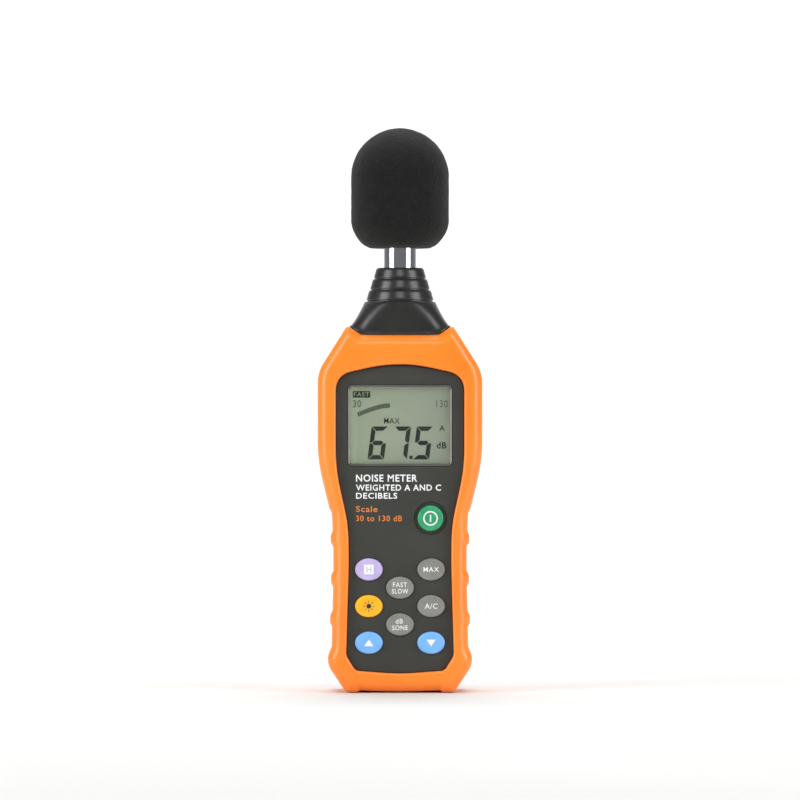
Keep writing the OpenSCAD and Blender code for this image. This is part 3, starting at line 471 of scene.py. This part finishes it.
bumper = {
    "wall": 2.6, "seam": 0.25, "partingGap": 0.02, "shellGap": 0.05, "smooth": 28,
    "roundDepth": 5.3, "roundIn": 4.6, "roundSteps": 9, "ribFade": 1.25,
    "lipDepth": 1.0, "lipIn": 1.1, "lipSteps": 5, "windowSteps": 7,
    "waist": 53.2, "waistZ": 53.6, "flare": 58, "flareZ": 14.5, "gripLow": -1.5, "gripHigh": 0.6,
    "gripTop": 69.6, "ribHeight": 0.9, "ribLength": 6, "ribRamp": 1.4, "ribPitch": 16.1, "ribZ": 29.4,
    "ribs": 3, "ribEase": 0.8, "frontWindow": 7.8, "rearWindow": 15.5,
    "belly": [0, 0.3, 12],
    "foot": [[16.0, 0.8, 0.3], [17.2, 0, 0.3], [21.6, 0, 1.0]],
    "flareRows": [[-0.3, 10.6, 1.9], [0, 14.5, 1.2]],                    # x from half the flare
    "gripStart": [18, 0.9],
    "step": [[0, 0, 1.0], [0.3, 2.8, 0.5], [1.1, 4.0, 0.6]],             # from the top of the grip
    "shoulder": [[0, -54, 8], [0, -18.6, 4.5]],                          # from the side and the tip
    "tip": [[0.8, 0, 1.2], [-4.8, -3.5, 0.4]],                           # from the boot's side and the tip
    "windowLow": [[0, -0.2, 8], [17.8, 1.2, 1.6], [21.5, 7.2, 1.4]],     # z from the window's foot
    "windowWaist": [-6.2, 6], "windowGrip": [-5.9, -2.4, 6],             # from the waist and the grip's top
    "windowHigh": [[-7.3, -57, 8], [-7.3, -19.8, 6.5]],                  # from the side and the tip
    "windowCrown": [-14.1, 15],
}

def shifted(rows, x, z):
    return [[row[0] + x, row[1] + z, row[2]] for row in rows]

def gripX(z):
    b = bumper
    waist = b["waist"] / 2
    low, high = b["flare"] / 2 + b["gripLow"], waist + b["gripHigh"]
    if z < b["waistZ"]:
        return low + (waist - low) * (z - b["flareZ"]) / (b["waistZ"] - b["flareZ"])
    return waist + (high - waist) * (z - b["waistZ"]) / (b["gripTop"] - b["waistZ"])

# outline of the body; the ribs are as high as the given share of their full height
def bodyCorners(ribShare=1.0):
    b = bumper
    startZ, startEase = b["gripStart"]
    half = b["foot"] + shifted(b["flareRows"], b["flare"] / 2, 0) + [[gripX(startZ), startZ, startEase]]
    for i in range(b["ribs"]):
        z, reach, ease = b["ribZ"] + i * b["ribPitch"], b["ribLength"] / 2, b["ribEase"]
        top = gripX(z) + b["ribHeight"] * ribShare
        half += [[gripX(z - reach), z - reach, ease], [top, z - reach + b["ribRamp"], ease],
                 [top, z + reach - b["ribRamp"], ease], [gripX(z + reach), z + reach, ease]]
    half += shifted(b["step"], gripX(b["gripTop"]), b["gripTop"])
    half += shifted(b["shoulder"], bodyWidth / 2, tipZ) + shifted(b["tip"], bootHigh[0], tipZ)
    return mirroredCorners([b["belly"]], half, [])

def windowCorners(z):
    b = bumper
    low = shifted(b["windowLow"], 0, z)
    waistX, waistEase = b["windowWaist"]
    crownZ, crownEase = b["windowCrown"]
    half = low[1:] + [[b["waist"] / 2 + waistX, b["waistZ"], waistEase]]
    half += shifted([b["windowGrip"]], b["waist"] / 2, b["gripTop"])
    half += shifted(b["windowHigh"], bodyWidth / 2, tipZ)
    return mirroredCorners(low[:1], half, [[0, tipZ + crownZ, crownEase]])

def bumperHalf(name, side, windowZ, stands):
    b = bumper
    window = windowCorners(windowZ)
    shell, seam = shellDepth + b["shellGap"], b["partingGap"]

    def bodyRing(y, inset, ribShare=1.0):
        return [(x, side * y, z) for x, z in roundedOutline(bodyCorners(ribShare), inset)]

    def windowRing(y, inset):
        return [(x, side * y, z) for x, z in roundedOutline(window, inset, b["windowSteps"])]

    outer = [bodyRing(seam, b["seam"]), bodyRing(seam + b["seam"], 0),
             bodyRing(crestDepth - b["roundDepth"], 0)]
    for k in range(1, b["roundSteps"] + 1):
        t = math.pi / 2 * k / b["roundSteps"]
        outer.append(bodyRing(crestDepth - b["roundDepth"] * (1 - math.sin(t)),
                              b["roundIn"] * (1 - math.cos(t)),
                              max(1 - b["ribFade"] * k / b["roundSteps"], 0)))
    lip = []
    for k in range(b["lipSteps"] + 1):
        t = math.pi / 2 * k / b["lipSteps"]
        lip.append(windowRing(crestDepth - b["lipDepth"] * (1 - math.cos(t)),
                              -b["lipIn"] * (1 - math.sin(t))))
    lip.append(windowRing(shell, 0))
    inner = [bodyRing(shell, b["wall"]), bodyRing(seam, b["wall"])]

    verts, faces, ends = [], [], []
    for rings in (outer, lip, inner):
        start, count = len(verts), len(rings[0])
        verts += [p for ring in rings for p in ring]
        bridge(start, count, len(rings), faces)
        ends.append((list(range(start, start + count)), list(range(len(verts) - count, len(verts)))))
    # flat bands: the crest between the round and the window's lip, and the inside over the case
    for ringA, ringB in ((ends[0][1], ends[1][0]), (ends[1][1], ends[2][0])):
        both = ringA + ringB
        flat = [[Vector((verts[i][0], verts[i][2], 0)) for i in ring] for ring in (ringA, ringB)]
        faces += [tuple(both[i] for i in tri) for tri in tessellate_polygon(flat)]
    a, c = ends[2][1], ends[0][0]
    faces += [(a[i], a[(i + 1) % len(a)], c[(i + 1) % len(a)], c[i]) for i in range(len(a))]
    return makePiece(name, verts, faces, orangeAbs, "meter", b["smooth"], stands)

bumperHalf("bumper_front_shell", -1, bumper["frontWindow"], ["front_bumper"])
rearShell = bumperHalf("bumper_rear_shell", 1, bumper["rearWindow"], ["rear_bumper"])

# the case screws are reached through holes in the rear shell
screwHoles = {"places": [(13, 9.4), (18.5, tipZ - 13.8)], "radius": 2.9, "steps": 48, "spare": 2}

def drillRearShell():
    h = screwHoles
    levels = (shellDepth - h["spare"], crestDepth + h["spare"])
    rods = [loft([[(a, y, b) for a, b in disc(side * x, z, h["radius"], h["steps"])] for y in levels])
            for x, z in h["places"] for side in (-1, 1)]
    verts, faces = joined(*rods)
    mesh = bpy.data.meshes.new("drill")
    mesh.from_pydata([[c * mm for c in v] for v in verts], [], faces)
    bm = bmesh.new()
    bm.from_mesh(mesh)
    bmesh.ops.recalc_face_normals(bm, faces=bm.faces)
    bm.to_mesh(mesh)
    bm.free()
    drill = bpy.data.objects.new("drill", mesh)
    bpy.context.scene.collection.objects.link(drill)
    cut = rearShell.modifiers.new("holes", "BOOLEAN")
    cut.object = drill
    cut.solver = "EXACT"
    bpy.context.view_layer.update()
    cutShell = rearShell.evaluated_get(bpy.context.evaluated_depsgraph_get())
    drilled = bpy.data.meshes.new_from_object(cutShell)
    rearShell.modifiers.clear()
    rearShell.data = drilled
    drilled.set_sharp_from_angle(angle=math.radians(bumper["smooth"]))
    bpy.data.objects.remove(drill)

drillRearShell()
print("bumper made")

# neck boot: a slope from a rounded rectangle to a circle, and three bellows-like rings on it

boot = {
    "corner": 5.0, "steps": 120, "rows": 12, "cornerEase": 0.85, "slope": 9.9, "slopeRadius": 14.3,
    "bulge": 0.06, "drop": 3.5, "seatIn": 4.8, "seatEdge": 0.8, "seatPower": 1.25,
    "skirt": [[0.5, 0.5, 0.0], [0.1, 0.1, 0.012], [0, 0, 0.04], [0.15, 0.05, 0.07], [0.6, 0.1, 0.085]],
    "shelf": [[14.05, 0.18], [13.3, 0.3]],                                # [radius, height above the slope]
    "rings": 3, "ringRadius": 13.5, "ringStep": 1.5, "ringHeight": 4.45, "ringBase": 0.45,
    "ringRows": [[0.35, 0], [0.35, 0.35], [0.1, 0.42], [0, 0.63], [0.12, 1.1], [0.66, 2.95],
                 [0.85, 3.75], [1.15, 4.15], [1.35, 4.4]],                # [in from the ring, height in it]
    "mouth": [[8.8, 0], [6.75, 0], [6.7, -0.6]], "bore": 6.7, "boreDown": 3.4, "smooth": 40,
}

# one ring of points; share tells how far up it lies from the seat's curved edge, or is None if level
def bootRing(half, deep, power, lift, share=None):
    ring = []
    for k in range(boot["steps"]):
        a = 2 * math.pi * k / boot["steps"]
        c, s = math.cos(a), math.sin(a)
        x = half * math.copysign(abs(c) ** (2 / power), c)
        y = deep * math.copysign(abs(s) ** (2 / power), s)
        z = lift
        if share is not None:
            edge = boot["seatEdge"]
            rise = max(abs(x) - bootHigh[0] + boot["seatIn"] + edge, 0) / (boot["seatIn"] + edge)
            low = shoulderZ - boot["drop"] + boot["drop"] * rise ** boot["seatPower"]
            z = low + (lift - low) * share
        ring.append((x, y, z))
    return ring

def neckBoot():
    o = boot
    w, d, slopeTop = bootHigh[0], -bootLow[1], shoulderZ + o["slope"]
    rings = [bootRing(w - side, d - front, o["corner"], slopeTop, share) for side, front, share in o["skirt"]]
    side, front, first = o["skirt"][-1]
    for k in range(1, o["rows"] + 1):
        t = k / o["rows"]
        half = w - side + (o["slopeRadius"] - w + side) * (t * (1 - o["bulge"]) + o["bulge"] * t * t)
        deep = d - front + (o["slopeRadius"] - d + front) * t
        power = o["corner"] + (2 - o["corner"]) * t ** o["cornerEase"]
        rings.append(bootRing(half, deep, power, slopeTop, first + (1 - first) * t))
    profile = [(r, slopeTop + rise) for r, rise in o["shelf"]]
    z = slopeTop + o["ringBase"]
    for i in range(o["rings"]):
        profile += [(o["ringRadius"] - i * o["ringStep"] - back, z + rise) for back, rise in o["ringRows"]]
        z += o["ringHeight"]
    profile += [(r, z + rise) for r, rise in o["mouth"]] + [(o["bore"], shoulderZ - o["boreDown"])]
    rings += [bootRing(r, r, 2, level) for r, level in profile]
    rings.append(rings[0])
    faces = []
    bridge(0, o["steps"], len(rings), faces)
    verts = [p for ring in rings for p in ring]
    makePiece("neck_boot_shell", verts, faces, neckAbs, "meter", o["smooth"], ["neck_boot"])

neckBoot()
print("neck boot made")

# microphone: a plain chromed tube and a turned capsule with grooves

tubeR = tubeHigh[0]
microphone = {
    "wall": 0.8, "lowEdge": 0.1, "topEdge": 0.25, "grooves": 6, "grooveStart": 1.2, "groovePitch": 0.8,
    "groove": [[0, 0], [0.14, 0.12], [0.14, 0.32], [0, 0.44]],            # [depth, height]
    "capWall": 1.0, "capEdge": 0.2, "capRim": 0.15, "plugDown": 5, "plugIn": 1.6, "plugTop": 0.4,
}

def microphoneParts():
    m = microphone
    low, top, capTop = tubeLow[2], tubeHigh[2], nodeBox("mic_capsule")[1][2]
    inner = tubeR - m["wall"]
    verts, faces = turned([(inner, low), (tubeR - m["lowEdge"], low), (tubeR, low + m["lowEdge"]),
                           (tubeR, top - m["topEdge"]), (tubeR - m["topEdge"], top), (inner, top),
                           (inner, low)])
    makePiece("mic_tube_chrome", verts, faces, chromePlate, "meter", 30, ["mic_tube"])
    capIn, plug = tubeR - m["capWall"], tubeR - m["plugIn"]
    profile = [(capIn, top), (tubeR - m["capEdge"], top), (tubeR, top + m["capEdge"])]
    for k in range(m["grooves"]):
        z = top + m["grooveStart"] + k * m["groovePitch"]
        profile += [(tubeR - depth, z + rise) for depth, rise in m["groove"]]
    profile += [(tubeR, capTop - m["capRim"]), (tubeR - m["capRim"], capTop), (capIn, capTop),
                (capIn, top - m["plugDown"]), (plug, top - m["plugDown"]), (plug, top - m["plugTop"]),
                (capIn, top)]
    verts, faces = turned(profile)
    makePiece("mic_capsule_body", verts, faces, nickel, "meter", 30, ["mic_capsule"])

microphoneParts()

# foam windscreen: blind bore, flat base, tight lower edge and a round dome

windscreen = {
    "baseRadius": 12.2, "edge": 10.6, "edgePower": 1.6, "edgeSteps": 16, "rowStep": 0.8, "domeSteps": 40,
    "steps": 180, "bore": 25.6, "gap": 0.3, "boreEdge": 0.4, "boreRows": 10, "boreFoot": 1, "mouth": 0.6,
    "baseRows": 6, "fineScale": 1.1, "fineShare": 0.65, "broadScale": 0.22, "broadShare": 0.9,
    "middle": 0.75, "rough": 0.16, "seed": 7, "skinFrom": 0.8, "skinOver": 5, "flatBase": 0.2,
}

def foamWindscreen():
    f, radius = windscreen, foamHigh[0]
    low, top = foamLow[2], foamHigh[2]
    bore, power = tubeR + f["gap"], f["edgePower"]
    outer = []
    for k in range(f["edgeSteps"] + 1):
        t = 1 - math.sin(math.pi / 2 * k / f["edgeSteps"])
        outer.append((f["baseRadius"] + (radius - f["baseRadius"]) * (1 - t ** power) ** (1 / power),
                      low + f["edge"] * (1 - t)))
    domeZ = top - radius
    straight = domeZ - low - f["edge"]
    rows = int(straight / f["rowStep"])
    outer += [(radius, low + f["edge"] + straight * k / rows) for k in range(1, rows)]
    for k in range(f["domeSteps"]):
        a = math.pi / 2 * k / f["domeSteps"]
        outer.append((radius * math.cos(a), domeZ + radius * math.sin(a)))
    outer.append((0, top))
    boreTop, mouth = low + f["bore"], bore + f["mouth"]
    boreSide = boreTop - f["boreEdge"]
    inner = [(0, boreTop), (bore / 2, boreTop), (bore - f["boreEdge"], boreTop), (bore, boreSide)]
    inner += [(bore, boreSide - (f["bore"] - f["boreFoot"]) * k / f["boreRows"])
              for k in range(1, f["boreRows"] + 1)]
    inner.append((mouth, low))
    base = [(mouth + (f["baseRadius"] - mouth) * k / f["baseRows"], low) for k in range(1, f["baseRows"])]
    verts, faces = turned(inner + base + outer, f["steps"])
    piece = makePiece("foam_windscreen", verts, faces, foam, "windscreen", 60, ["windscreen"])
    # cut foam is never quite even: two scales of unevenness on the outside only
    random.seed(f["seed"])
    shift = Vector((random.random(), random.random(), random.random())) * 10
    for v in piece.data.vertices:
        out = Vector((v.co.x, v.co.y, 0))
        p = v.co / mm
        isSkin = out.length > (bore + f["skinFrom"]) * mm or v.co.z > (boreTop + f["skinOver"]) * mm
        if isSkin and p.z > low + f["flatBase"]:
            step = (noise.noise(p * f["fineScale"] + shift) * f["fineShare"]
                    + noise.noise(p * f["broadScale"] + shift) * f["broadShare"])
            v.co += v.normal * (step - f["middle"]) * f["rough"] * mm

foamWindscreen()
print("windscreen made")

# keys: crowned oval caps with printed legends, each on its own body

keyLook = {"lip": 0.5, "edge": 0.45, "edgeSteps": 4, "crown": 0.32, "rise": 0.08, "back": -11.35,
           "behind": -12.5, "parts": 72, "rows": 10, "inkLift": 0.03, "topInkLift": 0.07}
keyTip = panelFace - 1

# level of a key's crowned face at a point given from the key's middle
def faceLevel(x, z, a, b):
    u = min((x / a) ** 2 + (z / b) ** 2, 1)
    return keyTip + keyLook["rise"] - keyLook["crown"] * (1 - u)

def keyCap(node, finish):
    low, high = nodeBox(node)
    k = keyLook
    x0, z0 = (low[0] + high[0]) / 2, (low[2] + high[2]) / 2
    a, b = (high[0] - low[0]) / 2 - k["lip"], (high[2] - low[2]) / 2 - k["lip"]
    turns = [2 * math.pi * i / k["parts"] for i in range(k["parts"])]

    def oval(halfX, halfZ, y):
        return [(x0 + halfX * math.cos(t), y, z0 + halfZ * math.sin(t)) for t in turns]

    wide, tall = a + k["lip"], b + k["lip"]
    rings = [oval(wide, tall, k["back"]), oval(wide, tall, k["behind"]), oval(a, b, k["behind"]),
             oval(a, b, keyTip + k["edge"] + k["rise"])]
    for i in range(1, k["edgeSteps"] + 1):
        t = math.pi / 2 * i / k["edgeSteps"]
        grow = -k["edge"] * (1 - math.cos(t))
        level = keyTip + k["rise"] + k["edge"] * (1 - math.sin(t)) - k["crown"] * (1 - (1 + grow / a) ** 2)
        rings.append(oval(a + grow, b + grow, level))
    for i in range(1, k["rows"]):
        f = (1 - k["edge"] / a) * (1 - i / k["rows"])
        rings.append(oval(a * f, b * f, faceLevel(a * f, 0, a, b)))
    verts, faces = loft(rings)
    makePiece(node + "_cap", verts, faces, finish, node, 40, [node])
    return x0, z0, a, b

keyPlan = {
    "power_key": "green", "hold_key": "violet", "max_key": "grey", "response_key": "grey",
    "backlight_key": "amber", "weighting_key": "grey", "unit_key": "grey", "up_key": "blue",
    "down_key": "blue",
}
caps = {key: keyCap(key, keyFinish[colour]) for key, colour in keyPlan.items()}

# lays a flat legend on the crowned face of a key; the legend is drawn about the key's middle
def legend(name, key, mesh, ink, lift=keyLook["inkLift"]):
    x0, z0, a, b = caps[key]
    verts, faces = refined(*mesh)
    front = min(v[1] for v in verts)
    laid = [(x0 + x, faceLevel(x, z, a, b) - lift + (y - front), z0 + z) for x, y, z in verts]
    makePiece(name, laid, faces, ink, key, 30)

marks = {"ring": (2.95, 2.38), "bar": (0.52, 2.8), "box": 3.9, "sun": 0.98, "rays": 8, "rayAt": 1.8,
         "ray": (0.85, 0.32), "arrow": (1.95, 1.35)}
rayTurns = [2 * math.pi * k / marks["rays"] for k in range(marks["rays"])]
rays = [rect(marks["rayAt"] * math.cos(t), marks["rayAt"] * math.sin(t), *marks["ray"], t) for t in rayTurns]
legend("power_mark", "power_key", inkSolid(annulus(0, 0, *marks["ring"]) + [rect(0, 0, *marks["bar"])], 0),
       whiteInk)
legend("hold_box", "hold_key", inkSolid([rect(0, 0, marks["box"], marks["box"])], 0), whiteInk)
legend("backlight_sun", "backlight_key", inkSolid([disc(0, 0, marks["sun"])] + rays, 0), darkInk)
for key, sense in (("up_key", 1), ("down_key", -1)):
    halfWide, halfHigh = marks["arrow"]
    arrow = [(-halfWide, -sense * halfHigh), (halfWide, -sense * halfHigh), (0, sense * halfHigh)]
    legend(key + "_arrow", key, inkSolid([arrow], 0), whiteInk)

# words on the keys: [words, middle, foot, width, height, weight], from the key's middle
keyWords = {
    "hold_letter": ("hold_key", [["H", 0, -1.15, 1.9, 2.3, 0.0]]),
    "max_word": ("max_key", [["MAX", 0, -0.9, 6.2, 1.9, 0.006]]),
    "response_words": ("response_key", [["FAST", 0, 0.3, 5.6, 1.9, 0.006],
                                        ["SLOW", 0, -2.3, 6.5, 1.9, 0.006]]),
    "weighting_word": ("weighting_key", [["A/C", 0, -1.0, 5.1, 2.1, 0.01]]),
    "unit_words": ("unit_key", [["dB", -0.3, 0.4, 2.9, 1.9, 0.006], ["SONE", 0, -2.25, 6.3, 1.9, 0.006]]),
}
for name, (key, rows) in keyWords.items():
    mesh = joined(*[lettering(words, x, z, w, h, 0, bold, True) for words, x, z, w, h, bold in rows])
    if key == "hold_key":
        legend(name, key, mesh, keyFinish["violet"], keyLook["topInkLift"])
    else:
        legend(name, key, mesh, whiteInk)
print("keys made")

# wording on the panel: [words, foot, width, height, ink, weight]

printing = {"left": -17.6, "level": panelFace - 0.03}
panelWords = {
    "panel_words_top": ["NOISE METER", 84.5, 24.5, 2.9, whiteInk, 0.018],
    "panel_words_middle": ["WEIGHTED A AND C", 80.9, 34.0, 2.5, whiteInk, 0.018],
    "panel_words_low": ["DECIBELS", 77.7, 16.5, 2.4, whiteInk, 0.018],
    "scale_word": ["Scale", 72.4, 8.6, 2.4, orangeInk, 0.008],
    "scale_values": ["30 to 130 dB", 68.7, 18.4, 2.3, orangeInk, 0.008],
}
for name, (words, foot, width, height, ink, bold) in panelWords.items():
    verts, faces = lettering(words, printing["left"], foot, width, height, printing["level"], bold)
    makePiece(name, verts, faces, ink, "meter", 30)

# display: figures lie on the glass, under the lens
# words are [words, left, foot from the display's middle, width, height, weight]

display = {
    "level": glassLow[1] - 0.07, "depth": 0.05, "labelLift": 0.04, "slant": 0.13, "digitHeight": 13.2,
    "digitWidth": 6.6, "stroke": 1.75, "base": 93.4, "gap": 0.16,
    "digits": [("6", -13.05), ("7", -3.85), ("5", 5.05)], "point": (4.4, 94.2, 0.75, 20),
    "blocks": 17, "arcFrom": (-16.6, 4.4), "arcBy": (12.2, 3.6), "arcBend": 0.45 * math.pi,
    "block": (0.66, 1.75), "blockTurn": 0.32, "label": (-15.4, 12.4, 7.0, 2.6),
    "words": [["MAX", -6.4, 0.7, 6.3, 2.3, 0.004], ["A", 15.7, -2.2, 2.3, 2.2, 0.015],
              ["dB", 14.7, -9.3, 3.9, 2.6, 0.02]],
    "limits": [["30", -18.8, 7.2, 3.2, 2.9, 0.0], ["130", 14.5, 7.2, 4.6, 2.9, 0.0]],
    "labelWord": [["FAST", -18.5, 11.55, 6.2, 1.7, 0.0]],
}
digitSegments = {"5": "afgcd", "6": "afgcde", "7": "abc"}

def segmentDigit(symbol, left):
    d = display
    w, h, s, g = d["digitWidth"], d["digitHeight"], d["stroke"], d["gap"]
    mid = h / 2
    upper = [(0, h - g), (0, mid + g), (s / 2, mid + g), (s, mid + s / 2 + g), (s, h - s - g)]
    bars = {"a": [(g, h), (w - g, h), (w - s - g, h - s), (s + g, h - s)],
            "f": upper,
            "b": [(w - x, z) for x, z in upper],
            "e": [(x, h - z) for x, z in upper],
            "c": [(w - x, h - z) for x, z in upper],
            "d": [(g, 0), (w - g, 0), (w - s - g, s), (s + g, s)],
            "g": [(s / 2 + g, mid), (s + g, mid + s / 2), (w - s - g, mid + s / 2), (w - s / 2 - g, mid),
                  (w - s - g, mid - s / 2), (s + g, mid - s / 2)]}
    return [[(left + x + z * d["slant"], d["base"] + z) for x, z in bars[k]] for k in digitSegments[symbol]]

def displayWords(rows, level):
    return [lettering(words, left, displayZ + foot, w, h, level, bold)
            for words, left, foot, w, h, bold in rows]

def displayPiece(name, meshes, ink):
    verts, faces = joined(*meshes)
    makePiece(name, verts, faces, ink, "meter", 30)

def displayFigures():
    d = display
    labelX, labelZ, labelWide, labelHigh = d["label"]
    shapes = [bar for symbol, left in d["digits"] for bar in segmentDigit(symbol, left)]
    shapes += [disc(*d["point"]), rect(labelX, displayZ + labelZ, labelWide, labelHigh)]
    # the analogue bar climbs along an arc, in narrow blocks
    blocks = []
    for k in range(d["blocks"]):
        t = k / (d["blocks"] - 1)
        x = d["arcFrom"][0] + d["arcBy"][0] * t
        z = displayZ + d["arcFrom"][1] + d["arcBy"][1] * math.sin(t * d["arcBend"])
        blocks.append(rect(x, z, *d["block"], d["blockTurn"] * (1 - t)))
    level, depth = d["level"], d["depth"]
    displayPiece("display_figures", [inkSolid(shapes, level, depth)] + displayWords(d["words"], level),
                 segmentInk)
    displayPiece("display_scale", [inkSolid(blocks, level, depth)] + displayWords(d["limits"], level),
                 faintInk)
    displayPiece("display_label_word", displayWords(d["labelWord"], level - d["labelLift"]), cellPaintedGlow)

displayFigures()

# polished rim round the lens: rows are [inset, how far it stands in front of the lens]
lensRim = {"corner": 2.2, "rows": [[0.02, 0.02], [0.25, 0.28], [0.45, 0.3], [1.0, 0.0], [0.02, 0.01]]}

def lensBezel():
    low, high = nodeBox("display_lens")
    w, h, ease = (high[0] - low[0]) / 2, (high[2] - low[2]) / 2, lensRim["corner"]
    z0 = (low[2] + high[2]) / 2
    corners = [[-w, -h, ease], [w, -h, ease], [w, h, ease], [-w, h, ease]]
    rings = [[(x, low[1] - rise, z0 + z) for x, z in roundedOutline(corners, inset, 6)]
             for inset, rise in lensRim["rows"]]
    verts = [p for ring in rings for p in ring]
    faces = []
    count = len(rings[0])
    bridge(0, count, len(rings), faces)
    last = len(verts) - count
    faces += [(last + i, last + (i + 1) % count, (i + 1) % count, i) for i in range(count)]
    # the rim's lighter grey is a painted highlight
    makePiece("lens_bezel", verts, faces, rimPaintedHighlight, "meter", 30)

lensBezel()
print("display made")

# back: grip ribs on the battery cover, and the screw thread inside the tripod insert
# a rib's rows are [height above the cover, inset]; the thread is 1/4 inch with 20 turns an inch

back = {"ribs": 5, "ribWidth": 15, "ribHigh": 0.9, "ribPitch": 1.9, "ribZ": 63, "ribEase": 0.4,
        "ribRows": [[-0.05, 0], [0.25, 0.06], [0.425, 0.16], [0.5, 0.3]],
        "pitch": 1.27, "boreRadius": 2.52, "ridge": 0.38, "flank": 0.4, "crest": 0.05, "threadIn": 0.7,
        "turns": 5, "threadSteps": 40}

def coverRibs():
    b = back
    face = nodeBox("battery_cover")[1][1]
    w, h, ease = b["ribWidth"] / 2, b["ribHigh"] / 2, b["ribEase"]
    ribs = []
    for i in range(b["ribs"]):
        z = b["ribZ"] + i * b["ribPitch"]
        corners = [[-w, z - h, ease], [w, z - h, ease], [w, z + h, ease], [-w, z + h, ease]]
        ribs.append(loft([[(x, face + rise, zz) for x, zz in roundedOutline(corners, inset, 6)]
                          for rise, inset in b["ribRows"]]))
    verts, faces = joined(*ribs)
    makePiece("cover_grip_ribs", verts, faces, backAbs, "battery_cover", 40)

def tripodThread():
    b = back
    low, high = nodeBox("tripod_insert")
    z0 = (low[2] + high[2]) / 2
    outer, inner, flank = b["boreRadius"], b["boreRadius"] - b["ridge"], b["pitch"] * b["flank"]
    section = [(outer, flank), (inner, b["crest"]), (inner, -b["crest"]), (outer, -flank)]
    count = b["turns"] * b["threadSteps"] + 1
    verts, faces = [], []
    for k in range(count):
        a = 2 * math.pi * k / b["threadSteps"]
        y = high[1] - b["threadIn"] - b["pitch"] * k / b["threadSteps"]
        verts += [(r * math.cos(a), y + dy, z0 + r * math.sin(a)) for r, dy in section]
    bridge(0, len(section), count, faces)
    faces += [(3, 2, 1, 0), tuple(range(len(verts) - 4, len(verts)))]
    makePiece("tripod_thread_ridge", verts, faces, brass, "meter", 30)

coverRibs()
tripodThread()
print("back made")

# camera, floor and light

scene = bpy.context.scene
scene.view_settings.view_transform = "Standard"

def lookAt(item, target):
    item.rotation_euler = (Vector(target) - item.location).to_track_quat("-Z", "Y").to_euler()

view = {"distance": 2.0, "height": 0.1172, "lens": 225, "sensor": 36}
camera = bpy.data.objects.new("camera", bpy.data.cameras.new("camera"))
scene.collection.objects.link(camera)
camera.location = (0, -view["distance"] + panelFace * mm, view["height"])
camera.data.lens = view["lens"]
camera.data.sensor_width = view["sensor"]
camera.data.clip_end = 50
lookAt(camera, (0, 0, view["height"]))
scene.camera = camera

# floor that turns up into a backdrop far behind, so that no edge shows
def backdrop():
    size = {"half": 6.0, "front": -4.0, "back": 4.0, "bend": 1.5, "high": 5.0, "steps": 12}
    path = [(size["front"], 0.0), (size["back"] - size["bend"], 0.0)]
    for k in range(1, size["steps"] + 1):
        t = math.pi / 2 * k / size["steps"]
        path.append((size["back"] - size["bend"] * (1 - math.sin(t)), size["bend"] * (1 - math.cos(t))))
    path.append((size["back"], size["high"]))
    verts = [(side * size["half"], y, z) for y, z in path for side in (-1, 1)]
    faces = [(2 * i, 2 * i + 1, 2 * i + 3, 2 * i + 2) for i in range(len(path) - 1)]
    mesh = bpy.data.meshes.new("floor")
    mesh.from_pydata(verts, [], faces)
    for face in mesh.polygons:
        face.use_smooth = True
    floor = bpy.data.objects.new("floor", mesh)
    scene.collection.objects.link(floor)
    look = {"dark": "#dcdcda", "light": "#e2e2e0", "rough": 0.8, "IOR": 1.4, "drift": 400, "grain": 5,
            "depth": 0.05, "relief": 0.1}
    mesh.materials.append(mouldedSurface("pale_matt_floor", look))

backdrop()

lamps = {
    "left": {"at": (-1.22, -0.68, 0.42), "size": 0.75, "high": 1.3, "power": 18, "aim": (0, 0, 0.12)},
    "right": {"at": (1.22, -0.68, 0.42), "size": 0.75, "high": 1.3, "power": 16, "aim": (0, 0, 0.12)},
    "front": {"at": (0.0, -1.9, 1.5), "size": 0.8, "high": 0.6, "power": 9, "aim": (0, 0, 0.1)},
    "top": {"at": (0.0, 0.3, 1.5), "size": 1.2, "high": 1.2, "power": 16, "aim": (0, 0, 0.1)},
    "backdrop": {"at": (0.0, 1.5, 2.6), "size": 3.0, "high": 1.0, "power": 110, "aim": (0, 4.0, 0.6)},
}
for name, lamp in lamps.items():
    data = bpy.data.lights.new(name, "AREA")
    data.shape = "RECTANGLE"
    data.size = lamp["size"]
    data.size_y = lamp["high"]
    data.energy = lamp["power"]
    light = bpy.data.objects.new(name, data)
    scene.collection.objects.link(light)
    light.location = lamp["at"]
    lookAt(light, lamp["aim"])

world = bpy.data.worlds.new("studio")
scene.world = world
world.use_nodes = True
world.node_tree.nodes["Background"].inputs["Color"].default_value = linear("#e6e9ee")
world.node_tree.nodes["Background"].inputs["Strength"].default_value = 0.22
print("studio made")
